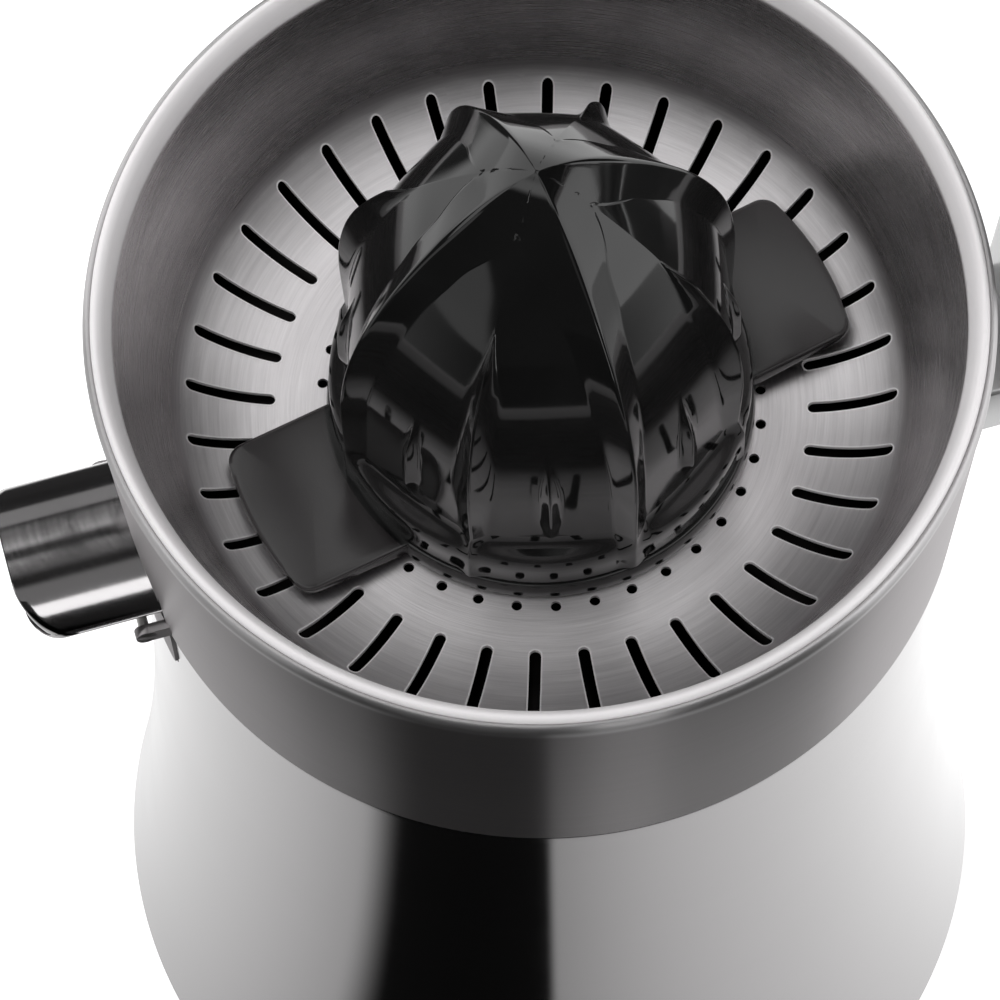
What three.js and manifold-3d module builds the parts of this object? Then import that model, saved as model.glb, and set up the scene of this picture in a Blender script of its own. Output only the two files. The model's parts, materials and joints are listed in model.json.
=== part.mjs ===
// Lever citrus juice press: a flared steel motor column carries a steel juice bowl with a slotted
// strainer and a ridged black reamer, and a lever arm at the back brings a press dome down on it.
// Millimetres, +Z up, origin at the centre of the base plate's underside, spout towards -Y, lever at +Y.

import * as THREE from 'three';
import { mergeVertices } from 'three/addons/utils/BufferGeometryUtils.js';
import Module from 'manifold-3d';

const wasm = await Module();
wasm.setup();

// Driving dimensions of the whole press

const rimHeight = 282;            // inner edge of the bowl's rim above the base plate's underside
const rimInnerRadius = 84.6;
const rimOuterRadius = 90.3;
const skirtFootRadius = 88.2;
const skirtDepth = 61.1;          // rim edge down to the skirt's lower edge
const sheet = 1.2;                // steel sheet of the column and the liner
const fitGap = 0.3;               // between pieces that touch
const overrun = 2;                // how far a cutter passes the face that it cuts
const circleSteps = 36;
const smallSteps = 14;
const tinySteps = 10;
const fullTurn = Math.PI * 2;

// Column

const columnTopRadius = 87.6;
const columnFootRadius = 108;
const columnBottom = 0;
const columnTop = rimHeight - skirtDepth - 2 * fitGap;
const flarePower = 2.1;
const columnRings = 6;
const columnLip = 5;              // flange turned in at the top

// Base plate, feet and cord inlet

const plateThickness = 5;
const footHeight = 2.7;
const footRadius = 9;
const footCircle = 88;
const footNames = ['foot_front_right', 'foot_back_right', 'foot_back_left', 'foot_front_left'];
const ventCount = 12;
const ventWidth = 4;
const ventInner = 44;
const ventOuter = 70;
const inletHeight = 19;
const inletRadius = 6;
const inletFlange = 9.5;
const inletBore = 3.4;
const inletDepth = 12;
const inletProud = 6;
const inletTurn = 65;

// Deck, which closes the column's top and carries the bowl and the gear train

const deckThickness = 5;
const deckTop = columnTop - sheet - fitGap;
const deckBottom = deckTop - deckThickness;
const bossRadius = 13;
const bossHeight = 19;            // above the deck
const bushRadius = 8;
const bushLength = 16;
const sealHeight = 3.6;
const sealRadius = 12;

// Juice bowl

const bowlWall = 1.5;
const shoulderRise = 4.6;         // skirt's rolled shoulder above the rim's inner edge
const shoulderWidth = 2.2;
const ledgeRise = 1.4;            // ledge that the liner's lip rests on
const bowlFloorRise = 6.3;        // floor's top above the skirt's lower edge, at the skirt
const bowlFloorCrown = 2.4;       // how much higher the floor is at its centre
const bowlFloorThickness = 1.8;
const bowlTubeWall = 1.3;
const bowlTubeRise = 9;           // tube around the deck's boss, above the floor
const apronWidth = 38;            // tongue of the skirt under the spout
const apronDrop = 18.9;

// Liner, which is the bright rim and the steep wall

const lipRise = 5.8;
const lipOuterRadius = 88;
const seamRadius = 76.2;          // where the strainer plate meets the wall
const seamDepth = 28.2;
const wallShares = [[0, 0], [0.6, 0.64], [1, 1]];
const shelfWidth = 2;
const edgeDropShare = 1.6;        // plate's edge height, of its sheet

// Strainer plate

const strainerSheet = 1;
const strainerDepth = 40.9;       // its flat below the rim's inner edge
const flatRadius = 55.1;
const strainerBore = 14;
const dishShares = [[0.39, 0.71], [1, 1]];
const slotCount = 36;
const slotWidth = 2.4;
const slotInner = 55.1;
const slotOuter = 73.1;
const slotTurn = 2.8;             // degrees from +X to the first slot
const slotEndSteps = 3;
const holeCircle = 45.6;
const holeDiameter = 2.2;
const holeSteps = 6;

// Spout

const spoutRadius = 17.9;
const spoutWall = 1.4;
const spoutTip = 115.6;           // tip's distance from the axis
const spoutDrop = 56.4;           // spout's underside below the rim's inner edge
const spoutBottom = rimHeight - spoutDrop;
const spoutCorner = 9;
const spoutPinDrop = 2.4;
const spoutPinReach = 2.7;        // pin in front of the skirt's foot
const spoutPinRadius = 1.1;
const spoutBarrelRadius = 2.2;
const spoutOpeningGap = 0.8;
const spoutTiltRoom = 1.8;        // under the spout's floor, for its root to swing down
const spoutRootInset = 0.4;       // hood's root inside the skirt's outer face
const spoutEarWidth = 2.4;

// Reamer

const reamerRadius = 43.4;
const reamerTip = 58.4;           // above the rim's inner edge
const reamerFoot = -35;           // its lower edge, below the rim's inner edge
// Stops from the tip down: a share of the reamer's height, then a share of its radius or an angle.
const ridgeShares = [
  [1, 0], [0.991, 0.092], [0.974, 0.184], [0.94, 0.3], [0.897, 0.415], [0.844, 0.53], [0.782, 0.645],
  [0.707, 0.76], [0.616, 0.864], [0.525, 0.936], [0.418, 0.982], [0.31, 1], [0, 1],
];
const bandShare = 0.096;          // plain band round the foot, up to here
const bandRadiusShare = 0.98;
const ledgeShare = 0.15;          // sloping ledge from the band up to the panels
const bodyShares = [
  [1, 0.7], [0.94, 0.74], [0.85, 0.82], [0.78, 0.857], [0.62, 0.88], [0.4, 0.905],
  [ledgeShare, 0.93], [bandShare, bandRadiusShare], [0, bandRadiusShare],
];
const flankAngles = [
  [1, 43], [0.95, 43], [0.9, 29], [0.85, 20], [0.8, 15], [0.74, 11], [0.6, 8], [0.4, 5.5], [0, 4.5],
];
const finShares = [
  [1, 0.7], [0.782, 0.857], [0.73, 0.97], [0.6, 0.985], [0.4, 0.98], [ledgeShare, 0.965],
  [bandShare, 0.99], [0, 0.99],
];
const reamerRings = [
  0.991, 0.974, 0.94, 0.897, 0.844, 0.782, 0.73, 0.66, 0.57, 0.47, 0.37, 0.26, ledgeShare, bandShare, 0,
];
const ridgeTurn = 9.9;            // degrees from +X to the first main ridge
const ridgeCount = 4;
const finHalfAngle = 6;           // fins stand halfway between the main ridges
const toothOffset = 22.5;         // short teeth halfway between ridges and fins
const toothHalfAngle = 3.3;
const toothHeight = 2;
const toothTopShare = 0.5;
const panelRound = 0.3;           // 0 for a flat panel, 1 for a round one
const reamerWall = 3.2;
const hubRadius = 11;
const reamerBaseHeight = 3.5;
const reamerBaseRadius = 43.7;
const reamerBaseInner = 33;
const spigotHeight = 6;
const spigotWall = 2;
const wingTurn = 101.7;           // degrees from +X to the first wing
const wingReach = 65.8;
const wingHalfWidth = 18.2;
const wingThickness = 3.8;
const wingCorner = 4;
const wingClearance = 2.3;        // over the strainer's dish, so that the reamer can be pressed down
const wingCrown = 0.9;            // how much the wing's middle stands over its sides

// Drive shaft and gears

const shaftRadius = 5;
const hexRadius = 6;
const hexGap = 0.35;
const runningGap = 0.3;
const pressTravel = 1.5;
const shaftTopBelowTip = 43;
const gearModule = 2;
const pressureAngle = 25 * Math.PI / 180;
const addendumShare = 0.9;
const dedendumShare = 1.15;
const backlash = 0.36;
const rootShare = 1.12;           // a pinion tooth's width at its root, of that at the base circle
const wheelTeeth = 26;
const pinionTeeth = 10;
const wheelWidth = 8;
const wheelBelowDeck = 8;         // output wheel's top below the deck
const lowerWheelDrop = 16;        // cluster wheel's top below the output wheel's top
const axleRadius = 3;
const collarRadius = 10;
const collarThickness = 2;
const springTurns = 3;
const springWire = 0.9;
const springRadius = 8;

// Motor

const gearPlateThickness = 3;
const gearPlateRadius = 68;
const gearPlateDrop = 8;          // gear plate's top below the cluster wheel
const postRadius = 4;
const postCircle = 62;
const postAngles = [45, 135, 225, 315];
const postNames = ['post_back_right', 'post_back_left', 'post_front_left', 'post_front_right'];
const canRadius = 37;
const canHeight = 72;
const canWall = 2;
const motorSteps = 20;
const statorWall = 9;
const statorHeight = 34;
const rotorRadius = 24.5;
const rotorHeight = 32;
const motorShaftRadius = 4;
const fanRadius = 30;
const fanBlades = 6;
const fanHeight = 9;
const bearingRadius = 9;
const bearingLength = 6;

// Lever

const pivotReach = 118;           // hinge behind the column's axis
const pivotRise = 60;             // hinge above the rim's inner edge
const pivotHeight = rimHeight + pivotRise;
const openAngle = 100 * Math.PI / 180;
const armWidth = 20;
const armHubRadius = 13;
const armThickness = 15;
const hingePinRadius = 4;
const domePivotRise = 23;         // dome's pin above the hinge with the arm down
const domePinRadius = 3;
const lugRadius = 7.5;
const lugWidth = 4;
const gripStart = 168;
const gripEnd = 272;
const gripTilt = 8.3 * Math.PI / 180;
const gripWidth = 32;
const gripHeight = 23;
const tangWidth = 13;
const tangHeight = 9;
const armLineRise = 40;           // arm's centre line above the hinge, over the dome

// Hinge bracket

const bracketFootWidth = 52;
const bracketFootStart = 40;
const bracketFootThickness = 4;
const neckHalfWidth = 15;
const neckHeight = 18;
const neckStart = 79;
const towerFront = 103;
const towerBack = 133;
const towerHalfWidth = 17;
const towerRoot = 200;
const yokeRadius = 14.5;
const yokeSlotDepth = 29;

// Press dome, drawn as it stands with the arm down

const domeRadius = 64;
const domeRimRise = 3;            // rim above the bowl's inner edge
const domeEarRise = 11;           // dome's pin above its top
const domeHeight = pivotRise + domePivotRise - domeRimRise - domeEarRise;
const domeWall = 2.4;
const linerWall = 2;
const domeRibs = 8;
const domeRibDepth = 1.2;
const domeRibWidth = 2.4;
const domeTilt = 9 * Math.PI / 180;
const earWidth = 11.2;
const earRadius = 7;
const domeRings = 4;
const domeSteps = 24;

// Materials

const finish = (color, roughness, metalness) => new THREE.MeshStandardMaterial({ color, roughness, metalness });
const polishedSteel = finish(0xb9b6b4, 0.12, 1);
const brushedSteel = finish(0xb8b2b4, 0.32, 1);
const darkSteel = finish(0x8f8b88, 0.35, 1);
const castAluminium = finish(0xa9a9a8, 0.4, 1);
const glossBlack = finish(0x060606, 0.08, 0);
const satinBlack = finish(0x2b2627, 0.38, 0);
const mattePlastic = finish(0x232324, 0.6, 0);
const rubber = finish(0x18181a, 0.85, 0);
const brass = finish(0xb08a45, 0.35, 1);
const copper = finish(0x9a5a36, 0.45, 1);

// Solids

function toSolid(source) {
  const geometry = source.clone();
  for (const name of Object.keys(geometry.attributes)) {
    if (name !== 'position') geometry.deleteAttribute(name);
  }
  const merged = mergeVertices(geometry, 1e-4);
  const corners = merged.index.array;
  const kept = [];
  for (let i = 0; i < corners.length; i += 3) {
    const [a, b, c] = [corners[i], corners[i + 1], corners[i + 2]];
    if (a !== b && b !== c && c !== a) kept.push(a, b, c);
  }
  const build = (triangles) => new wasm.Manifold(new wasm.Mesh({
    numProp: 3,
    vertProperties: Float32Array.from(merged.attributes.position.array),
    triVerts: Uint32Array.from(triangles),
  }));
  const solid = build(kept);
  if (solid.volume() > 0) return solid;
  return build(kept.slice().reverse());
}

function toGeometry(solid) {
  const mesh = solid.getMesh();
  const geometry = new THREE.BufferGeometry();
  const places = new Float32Array(mesh.numVert * 3);
  for (let i = 0; i < mesh.numVert; i += 1) {
    for (let k = 0; k < 3; k += 1) places[3 * i + k] = mesh.vertProperties[i * mesh.numProp + k];
  }
  geometry.setAttribute('position', new THREE.BufferAttribute(places, 3));
  geometry.setIndex(Array.from(mesh.triVerts));
  geometry.computeVertexNormals();
  return geometry;
}

const degrees = (value) => value * Math.PI / 180;
const circleOuter = (inner, outer, share) => inner + (outer - inner) * share;

// A closed outline of [radius, height] points turned about the Z axis.
function revolve(outline, steps = circleSteps) {
  const points = outline.concat([outline[0]]).map(([r, z]) => new THREE.Vector2(Math.max(r, 0), z));
  return toSolid(new THREE.LatheGeometry(points, steps).rotateX(Math.PI / 2));
}

function ring(inner, outer, bottom, top, steps = smallSteps) {
  return revolve([[inner, bottom], [outer, bottom], [outer, top], [inner, top]], steps);
}

function disc(radius, bottom, top, steps = smallSteps) {
  const body = new THREE.CylinderGeometry(radius, radius, top - bottom, steps);
  return toSolid(body.rotateX(Math.PI / 2).translate(0, 0, (bottom + top) / 2));
}

function block(xs, ys, zs) {
  const body = new THREE.BoxGeometry(xs[1] - xs[0], ys[1] - ys[0], zs[1] - zs[0]);
  return toSolid(body.translate((xs[0] + xs[1]) / 2, (ys[0] + ys[1]) / 2, (zs[0] + zs[1]) / 2));
}

// A rod along X between two places, centred on (y, z).
function crossRod(radius, x0, x1, y, z, steps = smallSteps) {
  const body = new THREE.CylinderGeometry(radius, radius, x1 - x0, steps);
  return toSolid(body.rotateZ(Math.PI / 2).translate((x0 + x1) / 2, y, z));
}

function prism(points, bottom, top) {
  const shape = new THREE.Shape(points.map(([x, y]) => new THREE.Vector2(x, y)));
  const body = new THREE.ExtrudeGeometry(shape, { depth: top - bottom, bevelEnabled: false });
  return toSolid(body.translate(0, 0, bottom));
}

// A side outline of [y, z] points, extruded across X with its long edges softened.
function sidePlate(points, halfWidth, soften) {
  const shape = new THREE.Shape(points.map(([y, z]) => new THREE.Vector2(y, z)));
  const body = new THREE.ExtrudeGeometry(shape, {
    depth: 2 * (halfWidth - soften),
    bevelEnabled: soften > 0,
    bevelThickness: soften,
    bevelSize: soften,
    bevelOffset: -soften,
    bevelSegments: 1,
  });
  body.translate(0, 0, soften - halfWidth);
  const turned = new THREE.Matrix4().makeBasis(
    new THREE.Vector3(0, 1, 0),
    new THREE.Vector3(0, 0, 1),
    new THREE.Vector3(1, 0, 0),
  );
  return toSolid(body.applyMatrix4(turned));
}

function turnedAbout(solid, angle) {
  return solid.rotate([0, 0, angle]);
}

function joined(solids) {
  return solids.reduce((sum, next) => sum.add(next));
}

const root = new THREE.Group();

function piece(name, solid, material, parent = root) {
  const mesh = new THREE.Mesh(toGeometry(solid), material);
  mesh.name = name;
  parent.add(mesh);
  return mesh;
}

// Column, base plate, feet and inlet

const columnHeight = columnTop - columnBottom;

function columnRadius(z) {
  const down = (columnTop - z) / columnHeight;
  return columnTopRadius + (columnFootRadius - columnTopRadius) * down ** flarePower;
}

function columnOutline() {
  const outer = [];
  const inner = [];
  for (let i = 0; i <= columnRings; i += 1) {
    const z = columnBottom + columnHeight * (1 - (1 - i / columnRings) ** 1.4);
    outer.push([columnRadius(z), z]);
    if (i % 2 === 0) inner.push([columnRadius(z) - sheet, Math.min(z, columnTop - sheet)]);
  }
  const lip = [[columnTopRadius - columnLip, columnTop], [columnTopRadius - columnLip, columnTop - sheet]];
  return outer.concat(lip, inner.reverse());
}

const neckBottom = deckBottom - (neckHeight - (columnTop - fitGap - deckBottom));
const neckTop = neckBottom + neckHeight;
const apronBottom = rimHeight - skirtDepth - apronDrop;
const bladeReach = columnFootRadius + overrun;

const neckWindow = block(
  [-neckHalfWidth - fitGap, neckHalfWidth + fitGap],
  [neckStart - fitGap, bladeReach],
  [neckBottom - fitGap, columnTop + overrun],
);
const apronWindow = block(
  [-apronWidth / 2 - fitGap, apronWidth / 2 + fitGap],
  [-bladeReach, -columnTopRadius + columnLip + 2 * sheet],
  [apronBottom - fitGap, columnTop + overrun],
);

// The inlet sits square to the flaring column, turned from its back to the side.
function atInlet(solid) {
  const low = columnRadius(inletHeight - inletFlange);
  const high = columnRadius(inletHeight + inletFlange);
  const lean = Math.atan2(low - high, 2 * inletFlange) * 180 / Math.PI;
  const upright = solid.rotate([lean - 90, 0, 0]).translate([0, (low + high) / 2, inletHeight]);
  return upright.rotate([0, 0, inletTurn]);
}

const inletHole = atInlet(disc(inletRadius + fitGap, -inletDepth, inletDepth));

piece(
  'body_housing',
  revolve(columnOutline()).subtract(neckWindow).subtract(apronWindow).subtract(inletHole),
  polishedSteel,
);

function basePlate() {
  const top = columnBottom + plateThickness;
  const outline = [
    [0, columnBottom],
    [columnRadius(columnBottom) - sheet - fitGap, columnBottom],
    [columnRadius(top) - sheet - fitGap, top],
    [0, top],
  ];
  const points = outline.map(([r, z]) => new THREE.Vector2(r, z));
  let plate = toSolid(new THREE.LatheGeometry(points, circleSteps).rotateX(Math.PI / 2));
  const vent = block(
    [ventInner, ventOuter],
    [-ventWidth / 2, ventWidth / 2],
    [columnBottom - overrun, top + overrun],
  );
  for (let i = 0; i < ventCount; i += 1) {
    plate = plate.subtract(turnedAbout(vent, 360 * i / ventCount));
  }
  return plate;
}

piece('base_plate', basePlate(), mattePlastic);

footNames.forEach((name, i) => {
  const angle = fullTurn * (i + 0.5) / footNames.length - fullTurn / 4;
  const foot = revolve([
    [0, 0],
    [footRadius * 0.9, 0],
    [footRadius, footHeight / 2],
    [footRadius, footHeight],
    [0, footHeight],
  ], 12);
  const drop = columnBottom - fitGap - footHeight;
  piece(name, foot.translate([footCircle * Math.cos(angle), footCircle * Math.sin(angle), drop]), rubber);
});

function cordInlet() {
  const outline = [
    [inletBore, -inletDepth],
    [inletRadius, -inletDepth],
    [inletRadius, fitGap],
    [inletFlange, fitGap],
    [inletFlange * 0.75, inletProud],
    [inletBore, inletProud],
  ];
  return atInlet(revolve(outline, smallSteps));
}

piece('cord_inlet', cordInlet(), rubber);

// Deck with its boss, bush and seal

function deck() {
  const outer = columnRadius(deckBottom) - sheet - fitGap;
  const bushSeat = bushRadius + fitGap;
  const outline = [
    [shaftRadius + 2 * runningGap, deckBottom],
    [outer, deckBottom],
    [outer, deckTop],
    [bossRadius, deckTop],
    [bossRadius, deckTop + bossHeight],
    [bushSeat, deckTop + bossHeight],
    [bushSeat, deckBottom + deckThickness / 2],
    [shaftRadius + 2 * runningGap, deckBottom + deckThickness / 2],
  ];
  return revolve(outline).subtract(neckWindow).subtract(apronWindow);
}

piece('motor_deck', deck(), mattePlastic);

const bushBottom = deckBottom + deckThickness / 2 + fitGap;
const bossTop = deckTop + bossHeight;
piece('shaft_bush', ring(shaftRadius + runningGap, bushRadius, bushBottom, bushBottom + bushLength), brass);
piece(
  'shaft_seal',
  revolve([
    [shaftRadius + runningGap, bossTop + fitGap],
    [sealRadius, bossTop + fitGap],
    [sealRadius * 0.8, bossTop + sealHeight],
    [shaftRadius + runningGap, bossTop + sealHeight],
  ], smallSteps),
  rubber,
);

// Juice bowl: skirt, shoulder, floor, centre tube and the apron under the spout

const skirtBottom = rimHeight - skirtDepth;
const bowlFloorTop = skirtBottom + bowlFloorRise;

function juiceBowl() {
  const inner = skirtFootRadius - bowlWall;
  const shoulderTop = rimHeight + shoulderRise;
  const seam = lipOuterRadius + fitGap;
  const ledge = rimHeight + ledgeRise;
  const tubeInner = bossRadius + fitGap;
  const tubeOuter = tubeInner + bowlTubeWall;
  const crown = bowlFloorTop + bowlFloorCrown;
  const outline = [
    [skirtFootRadius, skirtBottom],
    [rimOuterRadius, rimHeight + 0.65 * shoulderRise],
    [rimOuterRadius - 0.5 * shoulderWidth, shoulderTop],
    [seam, rimHeight + 0.94 * shoulderRise],
    [seam, ledge],
    [seam - bowlWall, ledge],
    [seam - bowlWall, rimHeight - bowlWall],
    [inner, bowlFloorTop],
    [tubeOuter, crown],
    [tubeOuter, bowlFloorTop + bowlTubeRise],
    [tubeInner, bowlFloorTop + bowlTubeRise],
    [tubeInner, crown - bowlFloorThickness],
    [inner, bowlFloorTop - bowlFloorThickness],
    [inner, skirtBottom],
  ];
  const apronRing = ring(inner, skirtFootRadius, apronBottom, skirtBottom + sheet, circleSteps);
  const apron = apronRing.intersect(block(
    [-apronWidth / 2, apronWidth / 2],
    [-skirtFootRadius - overrun, 0],
    [apronBottom - overrun, skirtBottom + 2 * sheet],
  ));
  const earHalf = spoutRadius + spoutEarWidth + fitGap;
  const earBack = Math.sqrt(skirtFootRadius ** 2 - earHalf ** 2) - 0.9 * bowlWall;
  const pinY = -skirtFootRadius - spoutPinReach;
  const pinZ = spoutBottom - spoutPinDrop;
  const ears = [-1, 1].map((side) => {
    const near = side * (spoutRadius + fitGap);
    const far = side * earHalf;
    const lug = block(
      [Math.min(near, far), Math.max(near, far)],
      [pinY, -earBack],
      [pinZ - spoutBarrelRadius, pinZ + spoutBarrelRadius],
    );
    const nose = crossRod(spoutBarrelRadius, Math.min(near, far), Math.max(near, far), pinY, pinZ, 16);
    return lug.add(nose);
  });
  const opening = spoutRadius + spoutOpeningGap;
  const doorway = toSolid(new THREE.CylinderGeometry(
    opening, opening, skirtFootRadius, circleSteps / 2,
  ).translate(0, -skirtFootRadius, spoutBottom)).add(block(
    [-opening, opening],
    [-spoutTip, -skirtFootRadius * 0.8],
    [spoutBottom - spoutTiltRoom, spoutBottom],
  )).intersect(block(
    [-opening, opening],
    [-spoutTip, -skirtFootRadius * 0.8],
    [spoutBottom - spoutTiltRoom, spoutBottom + 2 * opening],
  )).subtract(disc(inner, skirtBottom, rimHeight, circleSteps));
  const pinHole = crossRod(spoutPinRadius + runningGap, -spoutTip, spoutTip, pinY, pinZ, 12);
  return joined([revolve(outline), apron, ...ears]).subtract(doorway).subtract(pinHole);
}

piece('juice_bowl', juiceBowl(), brushedSteel);

// Liner: rolled bright lip, steep wall and the shelf under the strainer plate

const plateEdge = seamRadius - 1.2 * fitGap;
const seamHeight = rimHeight - seamDepth;
const strainerTop = rimHeight - strainerDepth;

function linerWallPoints(offset) {
  return wallShares.map(([r, z]) => [
    circleOuter(rimInnerRadius, seamRadius, r) + offset,
    rimHeight - seamDepth * z,
  ]);
}

function liner() {
  const inside = linerWallPoints(0);
  const outside = linerWallPoints(sheet).slice(1).reverse();
  const lipInner = circleOuter(rimInnerRadius, lipOuterRadius, 0.35);
  const lipCrest = circleOuter(rimInnerRadius, lipOuterRadius, 0.8);
  const [kneeR, kneeZ] = dishShares[0];
  const slope = (seamHeight - strainerTop) * kneeZ / ((plateEdge - flatRadius) * kneeR);
  const shelfTop = seamHeight - edgeDropShare * strainerSheet - fitGap;
  const shelfEnd = shelfTop - slope * shelfWidth;
  const ledge = rimHeight + ledgeRise + fitGap;
  const outline = [
    ...inside,
    [seamRadius, shelfTop],
    [seamRadius - shelfWidth, shelfEnd],
    [seamRadius - shelfWidth, shelfEnd - 1.2 * sheet],
    ...outside,
    [rimInnerRadius + sheet, rimHeight],
    [lipOuterRadius - bowlWall - fitGap, ledge],
    [lipOuterRadius, ledge],
    [lipOuterRadius, rimHeight + 0.9 * lipRise],
    [lipCrest, rimHeight + lipRise],
    [lipInner, rimHeight + 0.66 * lipRise],
  ];
  return revolve(outline);
}

piece('bowl_liner', liner(), brushedSteel);

// Strainer plate with its radial slots and ring of small holes

function strainerPlate() {
  const edgeRadius = plateEdge;
  const edgeTop = seamHeight;
  const dish = dishShares.map(([r, z]) => [
    circleOuter(edgeRadius, flatRadius, r),
    circleOuter(edgeTop, strainerTop, z),
  ]);
  const top = [[edgeRadius, edgeTop], ...dish, [strainerBore, strainerTop]];
  const under = top.map(([r, z], i) => {
    const [pr, pz] = top[Math.max(i - 1, 0)];
    const [nr, nz] = top[Math.min(i + 1, top.length - 1)];
    const length = Math.hypot(nr - pr, nz - pz);
    return [r + (nz - pz) / length * -strainerSheet, z - Math.abs(nr - pr) / length * strainerSheet];
  });
  under[0] = [edgeRadius, edgeTop - edgeDropShare * strainerSheet];
  const plate = turnedAbout(revolve([...top, ...under.reverse()], slotCount), slotTurn + 180 / slotCount);
  const half = slotWidth / 2;
  const outline = [];
  for (let i = 0; i <= slotEndSteps; i += 1) {
    const angle = -Math.PI / 2 + Math.PI * i / slotEndSteps;
    outline.push([slotOuter - half + half * Math.cos(angle), half * Math.sin(angle)]);
  }
  for (let i = 0; i <= slotEndSteps; i += 1) {
    const angle = Math.PI / 2 + Math.PI * i / slotEndSteps;
    outline.push([slotInner + half + half * Math.cos(angle), half * Math.sin(angle)]);
  }
  const slot = prism(outline, strainerTop - 2 * overrun, edgeTop + overrun);
  const hole = disc(holeDiameter / 2, strainerTop - overrun, strainerTop + overrun, holeSteps)
    .translate([holeCircle, 0, 0]);
  const cutters = [];
  for (let i = 0; i < slotCount; i += 1) {
    const angle = slotTurn + 360 * i / slotCount;
    cutters.push(turnedAbout(slot, angle));
    cutters.push(turnedAbout(hole, angle + 180 / slotCount));
  }
  return plate.subtract(joined(cutters));
}

piece('strainer_plate', strainerPlate(), brushedSteel);

// Spout: an arched hood over a flat floor, hinged at its root so that it tips up to stop drips

function spout() {
  const arch = [];
  const steps = 16;
  for (let i = 0; i <= steps; i += 1) {
    const angle = Math.PI * i / steps;
    arch.push([spoutRadius * Math.cos(angle), spoutRadius * Math.sin(angle)]);
  }
  const hollow = arch.map(([x, z]) => [
    x * (1 - spoutWall / spoutRadius),
    Math.max(z * (1 - spoutWall / spoutRadius), spoutWall),
  ]);
  const stand = (points, from, to) => {
    const shape = new THREE.Shape(points.map(([x, z]) => new THREE.Vector2(x, z)));
    const body = new THREE.ExtrudeGeometry(shape, { depth: to - from, bevelEnabled: false });
    return toSolid(body.rotateX(Math.PI / 2).translate(0, -from, spoutBottom));
  };
  const start = skirtFootRadius - 2 * spoutWall - overrun;
  const hood = stand(arch, start, spoutTip).subtract(disc(
    skirtFootRadius - spoutRootInset,
    spoutBottom - overrun,
    spoutBottom + spoutRadius + overrun,
    2 * circleSteps,
  ));
  const bore = stand(hollow, start - overrun, spoutTip + overrun);
  const planCorner = (side) => {
    const points = [];
    for (let i = 0; i <= 6; i += 1) {
      const angle = Math.PI / 2 * i / 6;
      points.push([
        side * (spoutRadius - spoutCorner + spoutCorner * Math.cos(angle)),
        -(spoutTip - spoutCorner + spoutCorner * Math.sin(angle)),
      ]);
    }
    return points;
  };
  const plan = prism(
    [
      [-spoutRadius - overrun, -start + overrun],
      ...planCorner(-1).map(([x, y], i) => (i === 0 ? [x - overrun, y] : [x, y])),
      ...planCorner(1).reverse().map(([x, y], i, all) => (i === all.length - 1 ? [x + overrun, y] : [x, y])),
      [spoutRadius + overrun, -start + overrun],
    ],
    spoutBottom - overrun,
    spoutBottom + spoutRadius + overrun,
  );
  const pinY = -skirtFootRadius - spoutPinReach;
  const pinZ = spoutBottom - spoutPinDrop;
  const barrelHalf = spoutRadius * 0.8;
  const barrel = crossRod(spoutBarrelRadius, -barrelHalf, barrelHalf, pinY, pinZ, 16).add(block(
    [-barrelHalf, barrelHalf],
    [pinY - spoutBarrelRadius, pinY + spoutBarrelRadius],
    [pinZ, spoutBottom + spoutWall / 2],
  ));
  const pinHole = crossRod(spoutPinRadius + runningGap, -spoutTip, spoutTip, pinY, pinZ, 12);
  return hood.subtract(bore).intersect(plan).add(barrel).subtract(pinHole);
}

piece('spout', spout(), polishedSteel);
piece(
  'spout_pin',
  crossRod(
    spoutPinRadius,
    -spoutRadius - spoutEarWidth,
    spoutRadius + spoutEarWidth,
    -skirtFootRadius - spoutPinReach,
    spoutBottom - spoutPinDrop,
    12,
  ),
  darkSteel,
);

// Drive train: output wheel, cluster wheel on its axle, and the pinion on the motor's shaft

function gearOutline(teeth) {
  const pitch = gearModule * teeth / 2;
  const base = pitch * Math.cos(pressureAngle);
  const tip = pitch + gearModule * addendumShare;
  const foot = pitch - gearModule * dedendumShare;
  const halfTooth = (Math.PI * gearModule / 2 - backlash) / (2 * pitch);
  const involute = (radius) => {
    const angle = Math.acos(Math.min(base / radius, 1));
    return Math.tan(angle) - angle;
  };
  const atPitch = involute(pitch);
  const low = Math.max(base, foot);
  const radii = [low, tip];
  const points = [];
  for (let i = 0; i < teeth; i += 1) {
    const centre = fullTurn * i / teeth;
    const flank = radii.map((radius) => [radius, halfTooth + atPitch - involute(radius)]);
    const left = low > foot ? [[foot, flank[0][1] * rootShare], ...flank] : flank;
    left.forEach(([radius, half]) => points.push([radius, centre - half]));
    left.slice().reverse().forEach(([radius, half]) => points.push([radius, centre + half]));
  }
  return points.map(([radius, angle]) => [radius * Math.cos(angle), radius * Math.sin(angle)]);
}

function hexagon(radius) {
  return Array.from({ length: 6 }, (_, i) => [
    radius * Math.cos(fullTurn * i / 6),
    radius * Math.sin(fullTurn * i / 6),
  ]);
}

const halfPitch = 180 / wheelTeeth;
const gearDistance = gearModule * (wheelTeeth + pinionTeeth) / 2;
const wheelTop = deckBottom - wheelBelowDeck;
const wheelBottom = wheelTop - wheelWidth;
const lowerTop = wheelTop - lowerWheelDrop;
const lowerBottom = lowerTop - wheelWidth;
const gearPlateTop = lowerBottom - gearPlateDrop + 2;
const gearPlateBottom = gearPlateTop - gearPlateThickness;
const toothSpill = 1;             // a pinion's teeth past the wheel's faces

const outputWheel = turnedAbout(prism(gearOutline(wheelTeeth), wheelBottom, wheelTop), halfPitch)
  .subtract(prism(hexagon(hexRadius + hexGap), wheelBottom - overrun, wheelTop + overrun));
piece('output_wheel', outputWheel, mattePlastic);

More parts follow.
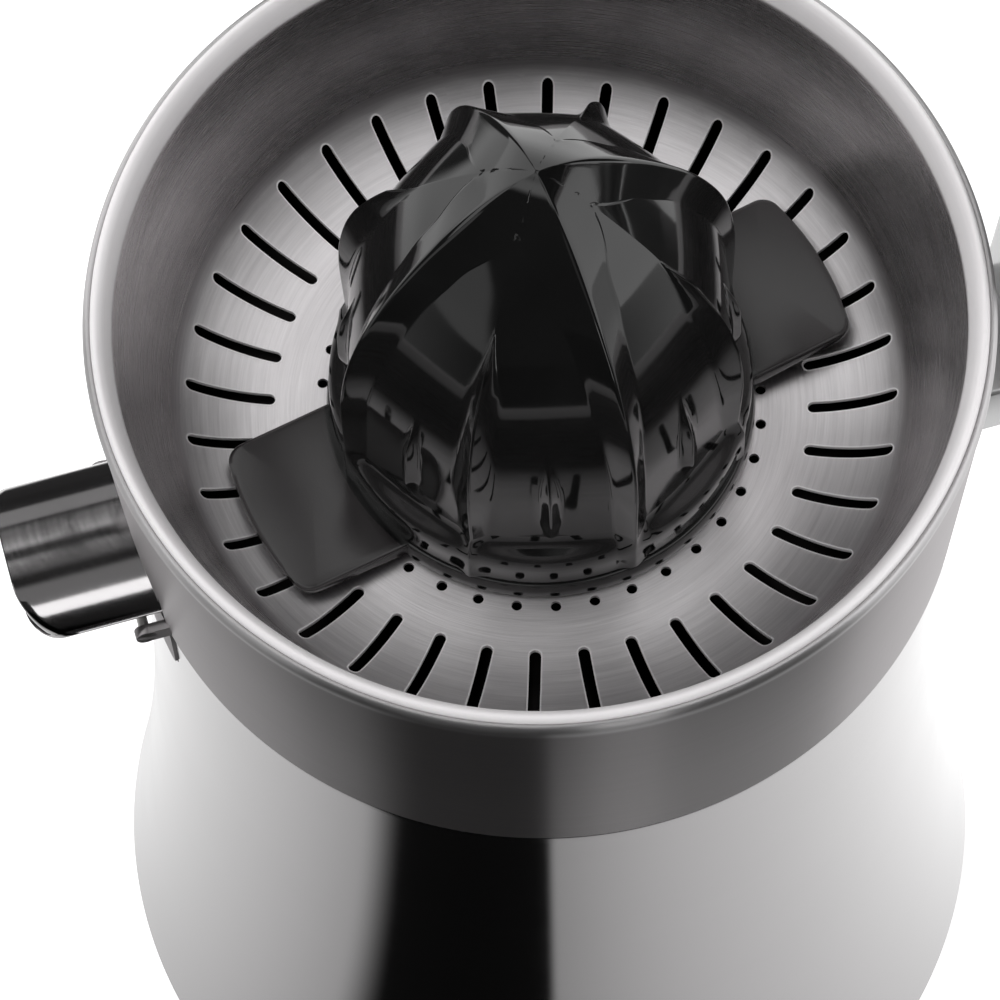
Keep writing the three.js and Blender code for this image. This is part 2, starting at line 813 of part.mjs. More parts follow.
const clusterWheel = turnedAbout(prism(gearOutline(wheelTeeth), lowerBottom, lowerTop), halfPitch)
  .add(prism(gearOutline(pinionTeeth), lowerTop - toothSpill, wheelTop + toothSpill))
  .subtract(disc(axleRadius + runningGap, lowerBottom - overrun, wheelTop + 2 * overrun, tinySteps));
piece('cluster_wheel', clusterWheel.translate([gearDistance, 0, 0]), mattePlastic);

const axleTop = deckBottom - fitGap;
piece(
  'cluster_axle',
  disc(axleRadius, gearPlateTop + fitGap, axleTop, tinySteps).translate([gearDistance, 0, 0]),
  darkSteel,
);

// Drive shaft with its collar, and the spring that lifts it

const reamerTipHeight = rimHeight + reamerTip;
const shaftTop = reamerTipHeight - shaftTopBelowTip;
const shaftBottom = wheelBottom - fitGap * 3 - pressTravel;
const upperHexBottom = strainerTop + 2 * bowlTubeRise;
const lowerHexTop = deckBottom - 2 * collarThickness - fitGap;

const driveShaft = joined([
  disc(shaftRadius, shaftBottom + sheet, shaftTop - sheet, smallSteps),
  prism(hexagon(hexRadius), shaftBottom, lowerHexTop),
  prism(hexagon(hexRadius), upperHexBottom, shaftTop),
]);
piece('drive_shaft', driveShaft, darkSteel);

const collarTop = deckBottom - 2 * fitGap;
piece(
  'thrust_collar',
  ring(hexRadius + fitGap, collarRadius, collarTop - collarThickness, collarTop),
  brass,
);

class Helix extends THREE.Curve {
  constructor(radius, bottom, top, turns) {
    super();
    Object.assign(this, { radius, bottom, top, turns });
  }

  getPoint(share) {
    const angle = fullTurn * this.turns * share;
    return new THREE.Vector3(
      this.radius * Math.cos(angle),
      this.radius * Math.sin(angle),
      this.bottom + (this.top - this.bottom) * share,
    );
  }
}

function roundSection(radius, sides) {
  return new THREE.Shape(Array.from({ length: sides }, (_, i) => new THREE.Vector2(
    radius * Math.cos(fullTurn * i / sides),
    radius * Math.sin(fullTurn * i / sides),
  )));
}

const springPath = new Helix(
  springRadius,
  wheelTop + fitGap + springWire / 2,
  collarTop - collarThickness - fitGap - springWire / 2,
  springTurns,
);
piece(
  'shaft_spring',
  toSolid(new THREE.ExtrudeGeometry(roundSection(springWire / 2, 5), {
    steps: springTurns * 10,
    extrudePath: springPath,
  })),
  darkSteel,
);

// Switch that the collar closes when the reamer is pressed

const switchNear = collarRadius + 3;
const bladeThickness = 0.7;
const pressSwitch = block(
  [-6, 6].map((x) => x * sheet),
  [-switchNear - 12 * sheet, -switchNear],
  [wheelTop + bladeThickness + fitGap, axleTop],
).add(block(
  [-2, 2].map((x) => x * sheet),
  [-switchNear - sheet, -springRadius - springWire],
  [wheelTop + 2 * bladeThickness, wheelTop + 3 * bladeThickness],
));
piece('press_switch', pressSwitch, mattePlastic);

// Gear plate on its posts, and the motor under it

const gearPlate = ring(bearingRadius + fitGap, gearPlateRadius, gearPlateBottom, gearPlateTop, 24);
piece('gear_plate', gearPlate, castAluminium);

postNames.forEach((name, i) => {
  const angle = degrees(postAngles[i]);
  const post = disc(postRadius, gearPlateTop + fitGap, deckBottom - fitGap, tinySteps);
  piece(name, post.translate([postCircle * Math.cos(angle), postCircle * Math.sin(angle), 0]), castAluminium);
});

const canTop = gearPlateBottom - fitGap;
const canBottom = canTop - canHeight;

const motorCan = revolve([
  [bearingRadius + fitGap, canBottom],
  [canRadius, canBottom],
  [canRadius, canTop],
  [canRadius - canWall, canTop],
  [canRadius - canWall, canBottom + canWall],
  [bearingRadius + fitGap, canBottom + canWall],
], motorSteps);
let ventedCan = motorCan;
for (let i = 0; i < 4; i += 1) {
  ventedCan = ventedCan.subtract(turnedAbout(block(
    [canRadius / 2, canRadius + overrun],
    [-canRadius / 4, canRadius / 4],
    [canBottom + 2 * canWall, canBottom + 2 * canWall + fanHeight],
  ), 90 * i + 45));
}
piece('motor_can', ventedCan, darkSteel);

const statorTop = canTop - 2 * bearingLength;
const statorBottom = statorTop - statorHeight;
let stator = ring(
  canRadius - canWall - fitGap - statorWall,
  canRadius - canWall - fitGap,
  statorBottom,
  statorTop,
  motorSteps,
);
for (let i = 0; i < 6; i += 1) {
  const slot = block(
    [rotorRadius, canRadius - 2 * canWall],
    [-statorWall / 3, statorWall / 3],
    [statorBottom - overrun, statorTop + overrun],
  );
  stator = stator.subtract(turnedAbout(slot, 60 * i));
}
piece('motor_stator', stator, copper);

const rotorBottom = statorBottom + (statorHeight - rotorHeight) / 2;
piece(
  'motor_rotor',
  joined([
    disc(motorShaftRadius, canBottom - sheet, lowerTop + sheet, 16),
    disc(rotorRadius, rotorBottom, rotorBottom + rotorHeight, 24),
  ]),
  darkSteel,
);

const pinion = prism(gearOutline(pinionTeeth), lowerBottom - toothSpill, lowerTop + toothSpill)
  .subtract(disc(motorShaftRadius + fitGap, lowerBottom - overrun, lowerTop + overrun, tinySteps));
piece('motor_pinion', pinion, brass);

function fan() {
  const bottom = canBottom + 2 * canWall;
  const hub = ring(motorShaftRadius + fitGap, rotorRadius * 0.45, bottom, bottom + fanHeight);
  const blade = block(
    [rotorRadius * 0.4, fanRadius],
    [-sheet / 2, sheet / 2],
    [bottom + sheet, bottom + fanHeight],
  );
  const blades = Array.from({ length: fanBlades }, (_, i) => turnedAbout(blade, 360 * i / fanBlades));
  return joined([hub, ring(rotorRadius * 0.4, fanRadius, bottom, bottom + sheet, 20), ...blades]);
}

piece('motor_fan', fan(), mattePlastic);
piece(
  'motor_bearing_top',
  ring(motorShaftRadius + runningGap, bearingRadius, gearPlateBottom - bearingLength / 2, gearPlateTop, tinySteps),
  brass,
);
piece(
  'motor_bearing_bottom',
  ring(motorShaftRadius + runningGap, bearingRadius, canBottom, canBottom + canWall + fitGap * 4, tinySteps),
  brass,
);

// Reamer cone: four ridges meet at the tip, with fins and short teeth between them

const reamerBottom = rimHeight + reamerFoot;
const reamerHeight = reamerTipHeight - reamerBottom;

function smooth(edge0, edge1, value) {
  const share = Math.min(Math.max((value - edge0) / (edge1 - edge0), 0), 1);
  return share * share * (3 - 2 * share);
}

// The value at a share of the height, between stops that run from the tip down.
function atShare(stops, share) {
  const next = stops.findIndex(([place]) => place <= share);
  if (next <= 0) return stops[0][1];
  const [high, above] = stops[next - 1];
  const [low, below] = stops[next];
  return below + (above - below) * (share - low) / (high - low);
}

// Radius at an angle on the straight line between two points given by angle and radius.
function chord(angle, [angleA, radiusA], [angleB, radiusB]) {
  const sine = (turn) => Math.sin(degrees(turn));
  const spread = radiusA * sine(angle - angleA) + radiusB * sine(angleB - angle);
  return radiusA * radiusB * sine(angleB - angleA) / spread;
}

const ridgeHalfPitch = 180 / ridgeCount;
const flankFoot = flankAngles[flankAngles.length - 1][1];
const reamerColumns = [
  0,
  flankFoot,
  toothOffset - toothHalfAngle,
  toothOffset,
  toothOffset + toothHalfAngle,
  ridgeHalfPitch - finHalfAngle,
  ridgeHalfPitch,
];

// Columns follow the flanks of the ridges, which spread towards the tip until they meet.
function columnAngle(column, flank) {
  if (column <= flankFoot) return flank * column / flankFoot;
  return flank + (ridgeHalfPitch - flank) * (column - flankFoot) / (ridgeHalfPitch - flankFoot);
}

function sectionShare(column, angle, flank, share) {
  const body = atShare(bodyShares, share);
  if (angle <= flank) return chord(angle, [0, 1], [flank, body]);
  const round = Math.max(panelRound, 1 - smooth(bandShare, ledgeShare, share));
  const flat = chord(angle, [flank, body], [ridgeHalfPitch, body]);
  if (column === ridgeHalfPitch) return Math.max(body, atShare(finShares, share));
  return flat + (body - flat) * round;
}

function reamerRing(share) {
  const ridge = reamerRadius * atShare(ridgeShares, share);
  const flank = atShare(flankAngles, share);
  const tooth = smooth(ledgeShare, 0.25, share) * (1 - smooth(0.3, toothTopShare, share));
  const half = reamerColumns.map((column) => {
    const angle = columnAngle(column, flank);
    const rise = column === toothOffset ? toothHeight * tooth : 0;
    return [angle, ridge * sectionShare(column, angle, flank, share) + rise];
  });
  const mirrored = half.slice(1).reverse().map(([angle, radius]) => [2 * ridgeHalfPitch - angle, radius]);
  const quarter = [...half.slice(0, -1), ...mirrored];
  const ring = [];
  for (let ridgeIndex = 0; ridgeIndex < ridgeCount; ridgeIndex += 1) {
    for (const [angle, radius] of quarter) ring.push([angle + 2 * ridgeHalfPitch * ridgeIndex, radius]);
  }
  return ring;
}

function reamerShell() {
  const places = [0, 0, reamerTipHeight];
  for (const share of reamerRings) {
    for (const [angle, radius] of reamerRing(share)) {
      const turn = degrees(angle + ridgeTurn);
      places.push(radius * Math.cos(turn), radius * Math.sin(turn), reamerBottom + reamerHeight * share);
    }
  }
  places.push(0, 0, reamerBottom);
  const count = reamerRing(0).length;
  const rings = reamerRings.length;
  const last = places.length / 3 - 1;
  const index = [];
  for (let i = 0; i < count; i += 1) {
    const next = (i + 1) % count;
    index.push(0, 1 + i, 1 + next);
    for (let ringIndex = 0; ringIndex < rings - 1; ringIndex += 1) {
      const a = 1 + ringIndex * count + i;
      const b = 1 + ringIndex * count + next;
      index.push(a, a + count, b + count, a, b + count, b);
    }
    index.push(last, 1 + (rings - 1) * count + next, 1 + (rings - 1) * count + i);
  }
  const geometry = new THREE.BufferGeometry();
  geometry.setAttribute('position', new THREE.Float32BufferAttribute(places, 3));
  geometry.setIndex(index);
  return toSolid(geometry);
}

const cavityShares = [[1, 0], [0.97, 0.08], [0.9, 0.16], [0.8, 0.36], [0.54, 0.68], [0.4, 0.8]];
const cavityRadius = reamerRadius * bandRadiusShare - reamerWall;
const cavitySteps = 24;

function reamerCone() {
  const outline = cavityShares.map(([r, z]) => [
    cavityRadius * r,
    reamerBottom + (reamerHeight - reamerWall) * z,
  ]);
  const cavityTop = outline[outline.length - 1][1];
  const cavity = revolve([
    [hubRadius, reamerBottom - overrun],
    [cavityRadius, reamerBottom - overrun],
    ...outline,
    [hubRadius, cavityTop],
  ], cavitySteps);
  const socket = prism(hexagon(hexRadius + hexGap), reamerBottom - overrun, shaftTop + pressTravel);
  return reamerShell().subtract(cavity).subtract(socket);
}

piece('reamer_cone', reamerCone(), glossBlack);

// Reamer base: the ring under the cone, with its two grip wings

function wing() {
  const points = [];
  const sideRoot = Math.sqrt(reamerBaseRadius ** 2 - wingHalfWidth ** 2) - overrun;
  const tipAngle = Math.asin((wingHalfWidth - wingCorner) / (wingReach - wingCorner));
  points.push([sideRoot, -wingHalfWidth]);
  for (const side of [-1, 1]) {
    const corner = [];
    for (let i = 0; i <= 4; i += 1) {
      const angle = circleOuter(Math.PI / 2, tipAngle, i / 4);
      corner.push([
        (wingReach - wingCorner) * Math.cos(tipAngle) + wingCorner * Math.cos(angle),
        side * ((wingReach - wingCorner) * Math.sin(tipAngle) + wingCorner * Math.sin(angle)),
      ]);
    }
    points.push(...(side < 0 ? corner : corner.reverse()));
    if (side < 0) {
      for (let i = 1; i < 6; i += 1) {
        const angle = circleOuter(-tipAngle, tipAngle, i / 6);
        points.push([wingReach * Math.cos(angle), wingReach * Math.sin(angle)]);
      }
    }
  }
  points.push([sideRoot, wingHalfWidth]);
  const bottom = reamerBottom - reamerBaseHeight;
  const slab = prism(points, bottom, bottom + wingThickness + wingCrown);
  const crownRadius = wingHalfWidth ** 2 / (2 * wingCrown);
  const crown = toSolid(new THREE.CylinderGeometry(crownRadius, crownRadius, wingReach * 2, 96)
    .rotateZ(Math.PI / 2).translate(wingReach, 0, bottom + wingThickness + wingCrown - crownRadius));
  return slab.intersect(crown);
}

function reamerBase() {
  const bottom = reamerBottom - reamerBaseHeight;
  const top = reamerBottom - fitGap;
  const spigot = cavityRadius * Math.cos(Math.PI / cavitySteps) - fitGap;
  const spigotTop = spigot * cavityShares[1][0];
  const body = revolve([
    [reamerBaseInner, bottom],
    [reamerBaseRadius - sheet, bottom],
    [reamerBaseRadius, bottom + sheet],
    [reamerBaseRadius, top],
    [spigot, top],
    [spigotTop, top + spigotHeight],
    [spigot - spigotWall, top + spigotHeight],
    [spigot - spigotWall, bottom + 2 * sheet],
    [reamerBaseInner, bottom + 2 * sheet],
  ]);
  const keepOut = ring(reamerBaseInner - overrun, spigot - fitGap, bottom - overrun, top + spigotHeight);
  const room = disc(reamerRadius + 3 * fitGap, top, top + wingThickness, circleSteps);
  const wings = [0, 180].map((angle) => turnedAbout(wing(), wingTurn + angle));
  const knee = [
    circleOuter(plateEdge, flatRadius, dishShares[0][0]),
    circleOuter(seamHeight, strainerTop, dishShares[0][1]),
  ];
  const dishRoom = revolve([
    [flatRadius, strainerTop - overrun],
    [knee[0], strainerTop - overrun],
    [knee[0], knee[1] + wingClearance],
    [flatRadius, strainerTop + wingClearance],
  ]);
  return body.add(joined(wings).subtract(keepOut).subtract(room).subtract(dishRoom));
}

piece('reamer_base', reamerBase(), satinBlack);

// Hinge bracket: a foot under the deck, a neck through the column's back, and the forked tower

const foreTop = pivotHeight + yokeRadius;

function arcPoints(centreY, centreZ, radius, from, to, steps) {
  return Array.from({ length: steps + 1 }, (_, i) => {
    const angle = degrees(circleOuter(from, to, i / steps));
    return [centreY + radius * Math.cos(angle), centreZ + radius * Math.sin(angle)];
  });
}

function hingeBracket() {
  const foot = block(
    [-bracketFootWidth / 2, bracketFootWidth / 2],
    [bracketFootStart, neckStart + overrun],
    [deckBottom - fitGap - bracketFootThickness, deckBottom - fitGap],
  );
  const neck = block(
    [-neckHalfWidth, neckHalfWidth],
    [neckStart, towerFront + overrun],
    [neckBottom, neckTop],
  );
  const waist = (towerBack - towerFront) * 0.12;
  const middle = circleOuter(neckBottom, pivotHeight, 0.45);
  const tower = sidePlate([
    [towerFront, neckBottom],
    [towerBack - yokeRadius * 0.6, neckBottom],
    [towerBack - yokeRadius * 0.15, neckBottom + yokeRadius * 0.15],
    [towerBack, neckBottom + yokeRadius * 0.6],
    [towerBack - waist, middle],
    ...arcPoints(pivotReach, pivotHeight, yokeRadius, 0, 180, 12),
    [towerFront + waist, middle],
  ], towerHalfWidth, 2);
  const slot = block(
    [-armWidth / 2 - fitGap, armWidth / 2 + fitGap],
    [towerFront - 2 * overrun, towerBack + 2 * overrun],
    [foreTop - yokeSlotDepth - fitGap, foreTop + overrun],
  );
  const bore = crossRod(hingePinRadius + runningGap, -towerHalfWidth * 2, towerHalfWidth * 2, pivotReach, pivotHeight);
  return joined([foot, neck, tower]).subtract(slot).subtract(bore);
}

piece('hinge_bracket', hingeBracket(), castAluminium);
piece(
  'hinge_pin',
  joined([
    crossRod(hingePinRadius, -towerHalfWidth - fitGap, towerHalfWidth + fitGap, pivotReach, pivotHeight),
    crossRod(hingePinRadius * 1.6, towerHalfWidth + fitGap, towerHalfWidth + 2.2, pivotReach, pivotHeight),
  ]),
  polishedSteel,
);
piece(
  'hinge_pin_cap',
  crossRod(hingePinRadius * 1.6, -towerHalfWidth - 2.2, -towerHalfWidth - 2 * fitGap, pivotReach, pivotHeight),
  polishedSteel,
);

// Lever arm, drawn with the arm down and turned up about the hinge

const lever = new THREE.Group();
lever.position.set(0, pivotReach, pivotHeight);
lever.rotation.x = -openAngle;
root.add(lever);

const domePivot = [-pivotReach, domePivotRise];

function armOutline() {
  const centreShares = [[0.16, 0.5], [0.4, 0.86], [0.72, 1], [1, 1], [1.25, 0.98]];
  const line = new THREE.SplineCurve(centreShares.map(([y, z]) => new THREE.Vector2(
    -pivotReach * y,
    armLineRise * z,
  )));
  const samples = line.getPoints(8);
  const upper = [];
  const lower = [];
  samples.forEach((point, i) => {
    const share = i / (samples.length - 1);
    const before = samples[Math.max(i - 1, 0)];
    const after = samples[Math.min(i + 1, samples.length - 1)];
    const along = after.clone().sub(before).normalize();
    const half = armThickness / 2 * (1 + 0.45 * (1 - share) ** 2);
    upper.push([point.x + along.y * half, point.y - along.x * half]);
    lower.push([point.x - along.y * half, point.y + along.x * half]);
  });
  return [...upper, ...lower.reverse()];
}

function gripFrame(solid) {
  const start = [-gripStart, armLineRise - 1];
  return solid.rotate([gripTilt * 180 / Math.PI, 0, 0]).translate([0, start[0], start[1]]);
}

function leverArm() {
  const half = armWidth / 2;
  const blade = sidePlate(armOutline(), half, 2.5);
  const hub = crossRod(armHubRadius, -half, half, 0, 0, 32);
  const web = sidePlate([
    [-armHubRadius * 0.4, -armHubRadius * 0.9],
    [-pivotReach * 0.22, armLineRise * 0.3],
    [-pivotReach * 0.2, armLineRise * 0.75],
    [0, armHubRadius * 0.95],
  ], half, 0);
  const lug = (side) => {
    const near = side * (half - lugWidth);
    const far = side * half;
    const xs = [Math.min(near, far), Math.max(near, far)];
    return crossRod(lugRadius, xs[0], xs[1], domePivot[0], domePivot[1]).add(block(
      xs,
      [domePivot[0] - lugRadius, domePivot[0] + lugRadius],
      [domePivot[1], armLineRise],
    ));
  };
  const tang = gripFrame(block(
    [-tangWidth / 2, tangWidth / 2],
    [-(gripEnd - gripStart) * 0.82, overrun * 12],
    [-tangHeight / 2, tangHeight / 2],
  ));
  const hingeBore = crossRod(hingePinRadius + runningGap, -armWidth, armWidth, 0, 0);
  const domeBore = crossRod(domePinRadius + runningGap, -armWidth, armWidth, domePivot[0], domePivot[1], 16);
  return joined([blade, hub, web, lug(-1), lug(1), tang]).subtract(hingeBore).subtract(domeBore);
}

piece('lever_arm', leverArm(), castAluminium, lever);

function handleGrip() {
  const length = gripEnd - gripStart;
  const half = gripHeight / 2;
  const outline = [
    [half * 0.86, 0.02],
    [half, 0.1],
    [half * 0.94, 0.45],
    [half, 0.8],
    [half * 0.86, 0.93],
    [half * 0.5, 0.99],
  ].map(([r, share]) => new THREE.Vector2(r, length * share));
  const profile = [new THREE.Vector2(0, 0), new THREE.Vector2(half * 0.8, 0), ...outline, new THREE.Vector2(0, length)];
  const body = new THREE.LatheGeometry(profile, 18)
    .rotateX(Math.PI)
    .scale(gripWidth / gripHeight, 1, 1);
  const pocket = block(
    [-tangWidth / 2 - fitGap, tangWidth / 2 + fitGap],
    [-length * 0.82 - fitGap, overrun],
    [-tangHeight / 2 - fitGap, tangHeight / 2 + fitGap],
  );
  return gripFrame(toSolid(body).subtract(pocket)).translate([0, -fitGap, 0]);
}

piece('handle_grip', handleGrip(), satinBlack, lever);
piece(
  'dome_pin',
  crossRod(domePinRadius, -armWidth / 2, armWidth / 2, domePivot[0], domePivot[1], 16),
  darkSteel,
  lever,
);

// Press dome and its ribbed lining, hanging tipped on the dome's pin

const domeGroup = new THREE.Group();
domeGroup.position.set(0, domePivot[0], domePivot[1]);
domeGroup.rotation.x = domeTilt;
lever.add(domeGroup);

const domeRim = rimHeight + domeRimRise - pivotHeight - domePivotRise;
const domeTop = domeRim + domeHeight;

function domeShell(radius, height, innerRadius, innerHeight) {
  const outline = [];
  const arc = (r, h, forward) => {
    for (let i = 0; i <= domeRings; i += 1) {
      const angle = Math.PI / 2 * (forward ? i : domeRings - i) / domeRings;
      outline.push([r * Math.cos(angle), domeRim + h * Math.sin(angle)]);
    }
  };
  arc(radius, height, true);
  arc(innerRadius, innerHeight, false);
  const points = outline.map(([r, z]) => new THREE.Vector2(r < 1e-6 ? 0 : r, z));
  points.push(points[0]);
  return toSolid(new THREE.LatheGeometry(points, domeSteps).rotateX(Math.PI / 2));
}

function pressDome() {
  const shell = domeShell(domeRadius, domeHeight, domeRadius - domeWall, domeHeight - domeWall);
  const half = earWidth / 2;
  const ear = crossRod(earRadius, -half, half, 0, 0).add(block(
    [-half, half],
    [-earRadius, earRadius],
    [domeTop - domeWall, 0],
  ));
  const bore = crossRod(domePinRadius + runningGap, -earWidth, earWidth, 0, 0, 16);
  return shell.add(ear).subtract(bore);
}

piece('press_dome', pressDome(), brushedSteel, domeGroup);

function domeLining() {
  const outerRadius = domeRadius - domeWall - fitGap;
  const outerHeight = domeHeight - domeWall - fitGap;
  const innerRadius = outerRadius - linerWall;
  const innerHeight = outerHeight - linerWall;
  const skin = domeShell(outerRadius, outerHeight, innerRadius, innerHeight);
  const ribSpace = domeShell(
    outerRadius - linerWall / 2,
    outerHeight - linerWall / 2,
    innerRadius - domeRibDepth,
    innerHeight - domeRibDepth,
  );
  const ribs = Array.from({ length: domeRibs }, (_, i) => turnedAbout(block(
    [innerRadius * 0.3, outerRadius],
    [-domeRibWidth / 2, domeRibWidth / 2],
    [domeRim + overrun, domeTop],
  ), 360 * (i + 0.5) / domeRibs).intersect(ribSpace));
  return joined([skin, ...ribs]);
}

piece('dome_lining', domeLining(), glossBlack, domeGroup);

export default root;
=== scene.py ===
"""Dresses a lever citrus juice press: polished column, steel bowl, slotted strainer, black reamer."""

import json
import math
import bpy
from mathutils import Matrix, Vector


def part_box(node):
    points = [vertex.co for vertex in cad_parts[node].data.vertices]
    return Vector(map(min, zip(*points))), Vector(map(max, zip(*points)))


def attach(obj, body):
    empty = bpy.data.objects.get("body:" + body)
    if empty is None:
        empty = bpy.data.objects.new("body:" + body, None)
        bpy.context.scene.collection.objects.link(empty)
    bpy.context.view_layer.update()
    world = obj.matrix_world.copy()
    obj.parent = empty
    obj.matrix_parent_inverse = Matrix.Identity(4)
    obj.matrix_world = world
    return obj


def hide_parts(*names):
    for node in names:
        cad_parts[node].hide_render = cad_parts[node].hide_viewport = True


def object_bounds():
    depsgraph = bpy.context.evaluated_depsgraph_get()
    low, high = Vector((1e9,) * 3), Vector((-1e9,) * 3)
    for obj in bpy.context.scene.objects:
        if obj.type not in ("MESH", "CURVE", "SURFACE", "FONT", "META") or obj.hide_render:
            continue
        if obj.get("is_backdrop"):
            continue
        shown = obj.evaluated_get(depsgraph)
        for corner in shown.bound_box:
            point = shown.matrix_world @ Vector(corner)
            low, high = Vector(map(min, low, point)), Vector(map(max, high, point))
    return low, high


bl_info = {
    "name": "Lever Citrus Juice Press",
    "version": (1, 0, 0),
    "blender": (4, 5, 0),
    "location": "3D View > Sidebar > Juice Press",
    "description": "Builds the fine surfaces, finishes, lights and camera of a lever citrus juice press",
    "category": "Object",
}

import bmesh
import bpy
from bpy.props import FloatProperty, FloatVectorProperty, IntProperty, PointerProperty
from bpy.types import Operator, Panel, PropertyGroup
from mathutils import Matrix, Vector

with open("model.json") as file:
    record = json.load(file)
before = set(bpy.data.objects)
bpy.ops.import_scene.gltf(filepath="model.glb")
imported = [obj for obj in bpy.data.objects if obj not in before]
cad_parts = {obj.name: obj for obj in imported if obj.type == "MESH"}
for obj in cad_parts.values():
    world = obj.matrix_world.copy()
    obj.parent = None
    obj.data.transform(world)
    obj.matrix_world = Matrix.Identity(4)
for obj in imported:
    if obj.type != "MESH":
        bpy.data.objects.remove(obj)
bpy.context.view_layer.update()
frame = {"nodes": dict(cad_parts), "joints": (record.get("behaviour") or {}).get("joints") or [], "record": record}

MM = 0.001
TURN = 2 * math.pi
STUDIO_HEADING = 76.4
FIRST_SLOT = math.radians(2.8)
SLOT_ENDS = (0.0551, 0.0731)
APRON_HALF = 19 * MM


# Sizes and colours that a user may change


def length(name, description, millimetres):
    return FloatProperty(
        name=name, description=description, default=millimetres * MM, subtype="DISTANCE", unit="LENGTH"
    )


def in_degrees(name, description, value):
    return FloatProperty(name=name, description=description, default=math.radians(value), subtype="ANGLE")


def colour(name, description, default):
    return FloatVectorProperty(
        name=name, description=description, default=default, size=3, min=0, max=1, subtype="COLOR"
    )


class PressSizes(PropertyGroup):
    rim_height: length("Rim height", "Inner edge of the rim above the base plate", 282)
    rim_inner: length("Rim inner radius", "Radius of the rim's inner edge", 84.6)
    rim_outer: length("Rim outer radius", "Radius of the bowl's shoulder", 90.3)
    skirt_foot: length("Skirt foot radius", "Radius of the skirt where it meets the column", 88.2)
    skirt_depth: length("Skirt depth", "Rim edge down to the skirt's lower edge", 61.1)
    sheet: length("Sheet", "Thickness of the steel sheet", 1.2)
    reamer_radius: length("Reamer radius", "Radius of the reamer's ridges at its foot", 43.9)
    reamer_tip: length("Reamer tip", "Height of the reamer's tip above the rim's edge", 58.4)
    slot_width: length("Slot width", "Width of the strainer's slots", 2.4)
    slot_count: IntProperty(name="Slots", description="Number of radial slots", default=36, min=12, max=60)


class PressColours(PropertyGroup):
    steel: colour("Steel", "Colour of the liner and strainer", (0.78, 0.75, 0.76))
    skirt: colour("Skirt", "Colour of the bowl's brushed skirt", (0.34, 0.325, 0.33))
    column: colour("Column", "Colour of the polished column and spout", (0.42, 0.408, 0.412))
    reamer: colour("Reamer", "Colour of the reamer cone", (0.004, 0.004, 0.004))
    base: colour("Reamer base", "Colour of the reamer's base and the grip", (0.016, 0.014, 0.0145))
    cast: colour("Castings", "Colour of the lever arm and its bracket", (0.5, 0.5, 0.5))
    floor: colour("Floor", "Colour of the floor", (0.9, 0.9, 0.9))


class PressCamera(PropertyGroup):
    turn: in_degrees("Turn", "Camera heading", STUDIO_HEADING)
    elevation: in_degrees("Elevation", "Camera's angle above the horizon", 65.67)
    roll: in_degrees("Roll", "Camera's roll", -2.42)
    focal: FloatProperty(
        name="Focal length",
        description="Lens on a 36 mm sensor",
        default=149.384,
        subtype="DISTANCE_CAMERA",
    )
    place: FloatVectorProperty(
        name="Place",
        description="Camera's place",
        default=(0.35922, -0.0965, 1.01596),
        size=3,
        subtype="TRANSLATION",
    )


# Meshes


def new_piece(name, points, faces):
    mesh = bpy.data.meshes.new(name)
    mesh.from_pydata(points, [], faces)
    mesh.validate()
    piece = bpy.data.objects.new(name, mesh)
    bpy.context.scene.collection.objects.link(piece)
    return piece


def outward(piece):
    work = bmesh.new()
    work.from_mesh(piece.data)
    bmesh.ops.remove_doubles(work, verts=work.verts, dist=1e-6)
    bmesh.ops.recalc_face_normals(work, faces=work.faces)
    work.to_mesh(piece.data)
    work.free()
    return piece


def smooth(piece, sharp):
    for face in piece.data.polygons:
        face.use_smooth = True
    piece.data.set_sharp_from_angle(angle=math.radians(sharp))


def settle(piece):
    """Applies a piece's modifiers to its mesh."""
    bpy.context.view_layer.update()
    graph = bpy.context.evaluated_depsgraph_get()
    mesh = bpy.data.meshes.new_from_object(piece.evaluated_get(graph))
    old = piece.data
    piece.modifiers.clear()
    piece.data = mesh
    bpy.data.meshes.remove(old)


def cut(piece, *cutters, operation="DIFFERENCE"):
    """Cuts a piece with others, or keeps what it shares with them, and removes the others."""
    for cutter in cutters:
        tool = piece.modifiers.new("cut", "BOOLEAN")
        tool.operation = operation
        tool.solver = "EXACT"
        tool.object = cutter
    settle(piece)
    for cutter in cutters:
        bpy.data.objects.remove(cutter)


def soften(piece, width, segments=3, sharp=30):
    """Rounds the edges that turn by more than an angle in degrees."""
    tool = piece.modifiers.new("soften", "BEVEL")
    tool.width = width
    tool.segments = segments
    tool.limit_method = "ANGLE"
    tool.angle_limit = math.radians(sharp)
    settle(piece)


def fuse(name, pieces):
    """One object of several meshes, each kept whole."""
    points, faces = [], []
    for piece in pieces:
        start = len(points)
        points += [tuple(piece.matrix_world @ v.co) for v in piece.data.vertices]
        faces += [[start + i for i in face.vertices] for face in piece.data.polygons]
        bpy.data.objects.remove(piece)
    return new_piece(name, points, faces)


def fit(piece, body, material, slot, *nodes, sharp=35):
    """Gives a piece its shading, finish and body, and hides the nodes that it stands in for."""
    smooth(piece, sharp)
    piece.data.materials.clear()
    piece.data.materials.append(material)
    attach(piece, body)
    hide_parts(*nodes)


